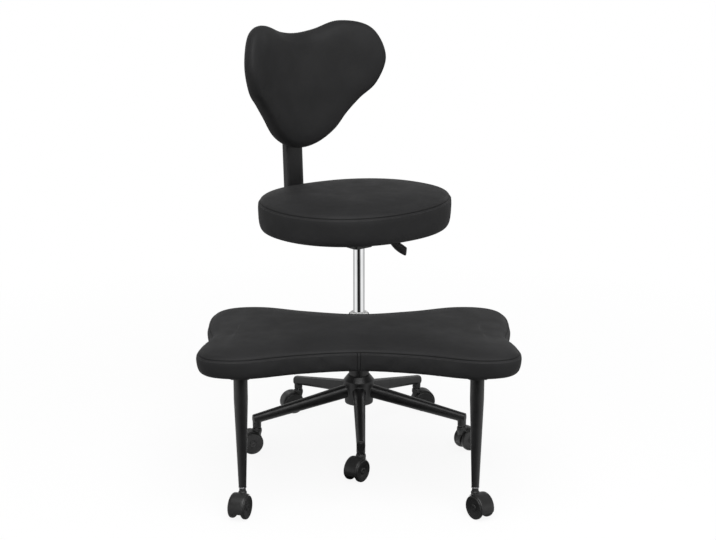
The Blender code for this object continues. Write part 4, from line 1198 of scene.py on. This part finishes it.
def floor_tone(paint, vector):
    """The floor as polished metal sees it: dark before the camera, bright to both sides, grey behind."""
    split = paint.split(vector)
    side, front = paint.math("ABSOLUTE", split["X"]), paint.math("MULTIPLY", split["Y"], -1.0)
    return paint.tones(paint.math("DIVIDE", paint.math("ARCTAN2", side, front), math.pi), FLOOR_TONES)


def room():
    world = bpy.data.worlds.new("studio")
    bpy.context.scene.world = world
    world.use_nodes = True
    nodes = Nodes(world.node_tree)
    light = nodes.node("ShaderNodeLightPath").outputs
    shiny = nodes.math("MAXIMUM", light["Is Glossy Ray"], light["Is Transmission Ray"])
    place = nodes.node("ShaderNodeTexCoord").outputs["Generated"]
    fill = nodes.mix(shiny, grey(FILL), nodes.tones(nodes.split(place)["Z"], SKY_TONES))
    seen = nodes.mix(light["Is Camera Ray"], fill, grey(1.0))
    nodes.join(seen, nodes.tree.nodes["Background"].inputs["Color"])


def floor():
    half = FLOOR_SIZE / 2
    corners = [(-half, -half, 0), (half, -half, 0), (half, half, 0), (-half, half, 0)]
    made = add("floor", mesh_from("floor", corners, [(0, 1, 2, 3)]))
    paint = Paint("floor_white", 0.9, specular=0.0)
    light = paint.node("ShaderNodeLightPath").outputs
    paint.colour(paint.mix(light["Is Camera Ray"], grey(FLOOR_BOUNCE), grey(FLOOR_WHITE)))
    place = paint.node("ShaderNodeNewGeometry").outputs["Position"]
    about = paint.node("ShaderNodeVectorMath", {0: place, 1: (0, COLUMN_Y, 0)}, operation="SUBTRACT")
    away = paint.node("ShaderNodeVectorMath", {0: about.outputs["Vector"]}, operation="LENGTH")
    fade = paint.range(away.outputs["Value"], *GLOW_REACH, *FLOOR_GLOW)
    glow = paint.node("ShaderNodeEmission").outputs["Emission"]
    share = paint.math("MULTIPLY", light["Is Camera Ray"], fade)
    white = paint.blend(share, paint.shader.outputs["BSDF"], glow)
    tone = floor_tone(paint, about.outputs["Vector"])
    mirrored = paint.node("ShaderNodeEmission", {"Color": tone}).outputs["Emission"]
    whole = paint.blend(light["Is Glossy Ray"], white, mirrored)
    paint.join(whole, paint.tree.nodes["Material Output"].inputs["Surface"])
    made.data.materials.append(paint.made)


def soft_light(name, place, target, size, power):
    lamp = bpy.data.lights.new(name, "AREA")
    lamp.shape = "RECTANGLE"
    lamp.size, lamp.size_y = size
    lamp.energy = power
    made = add(name, lamp)
    made.location = place
    made.rotation_euler = (Vector(target) - Vector(place)).to_track_quat("-Z", "Y").to_euler()
    made.visible_camera = False


def camera():
    lens = bpy.data.cameras.new("photo_camera")
    lens.sensor_width = SENSOR
    lens.lens = FOCAL_PIXELS / PHOTO_WIDTH * SENSOR
    lens.shift_x = (PHOTO_WIDTH / 2 - PRINCIPAL_X) / PHOTO_WIDTH
    made = add("photo_camera", lens)
    made.location = CAMERA_PLACE
    made.rotation_euler = (CAMERA_TILT, 0, 0)
    bpy.context.scene.camera = made


room()
floor()
for lamp in LAMPS:
    soft_light(*lamp)
for name in NOT_MIRRORED:
    bpy.data.objects[name].visible_glossy = False
camera()
bpy.context.scene.view_settings.view_transform = "Standard"
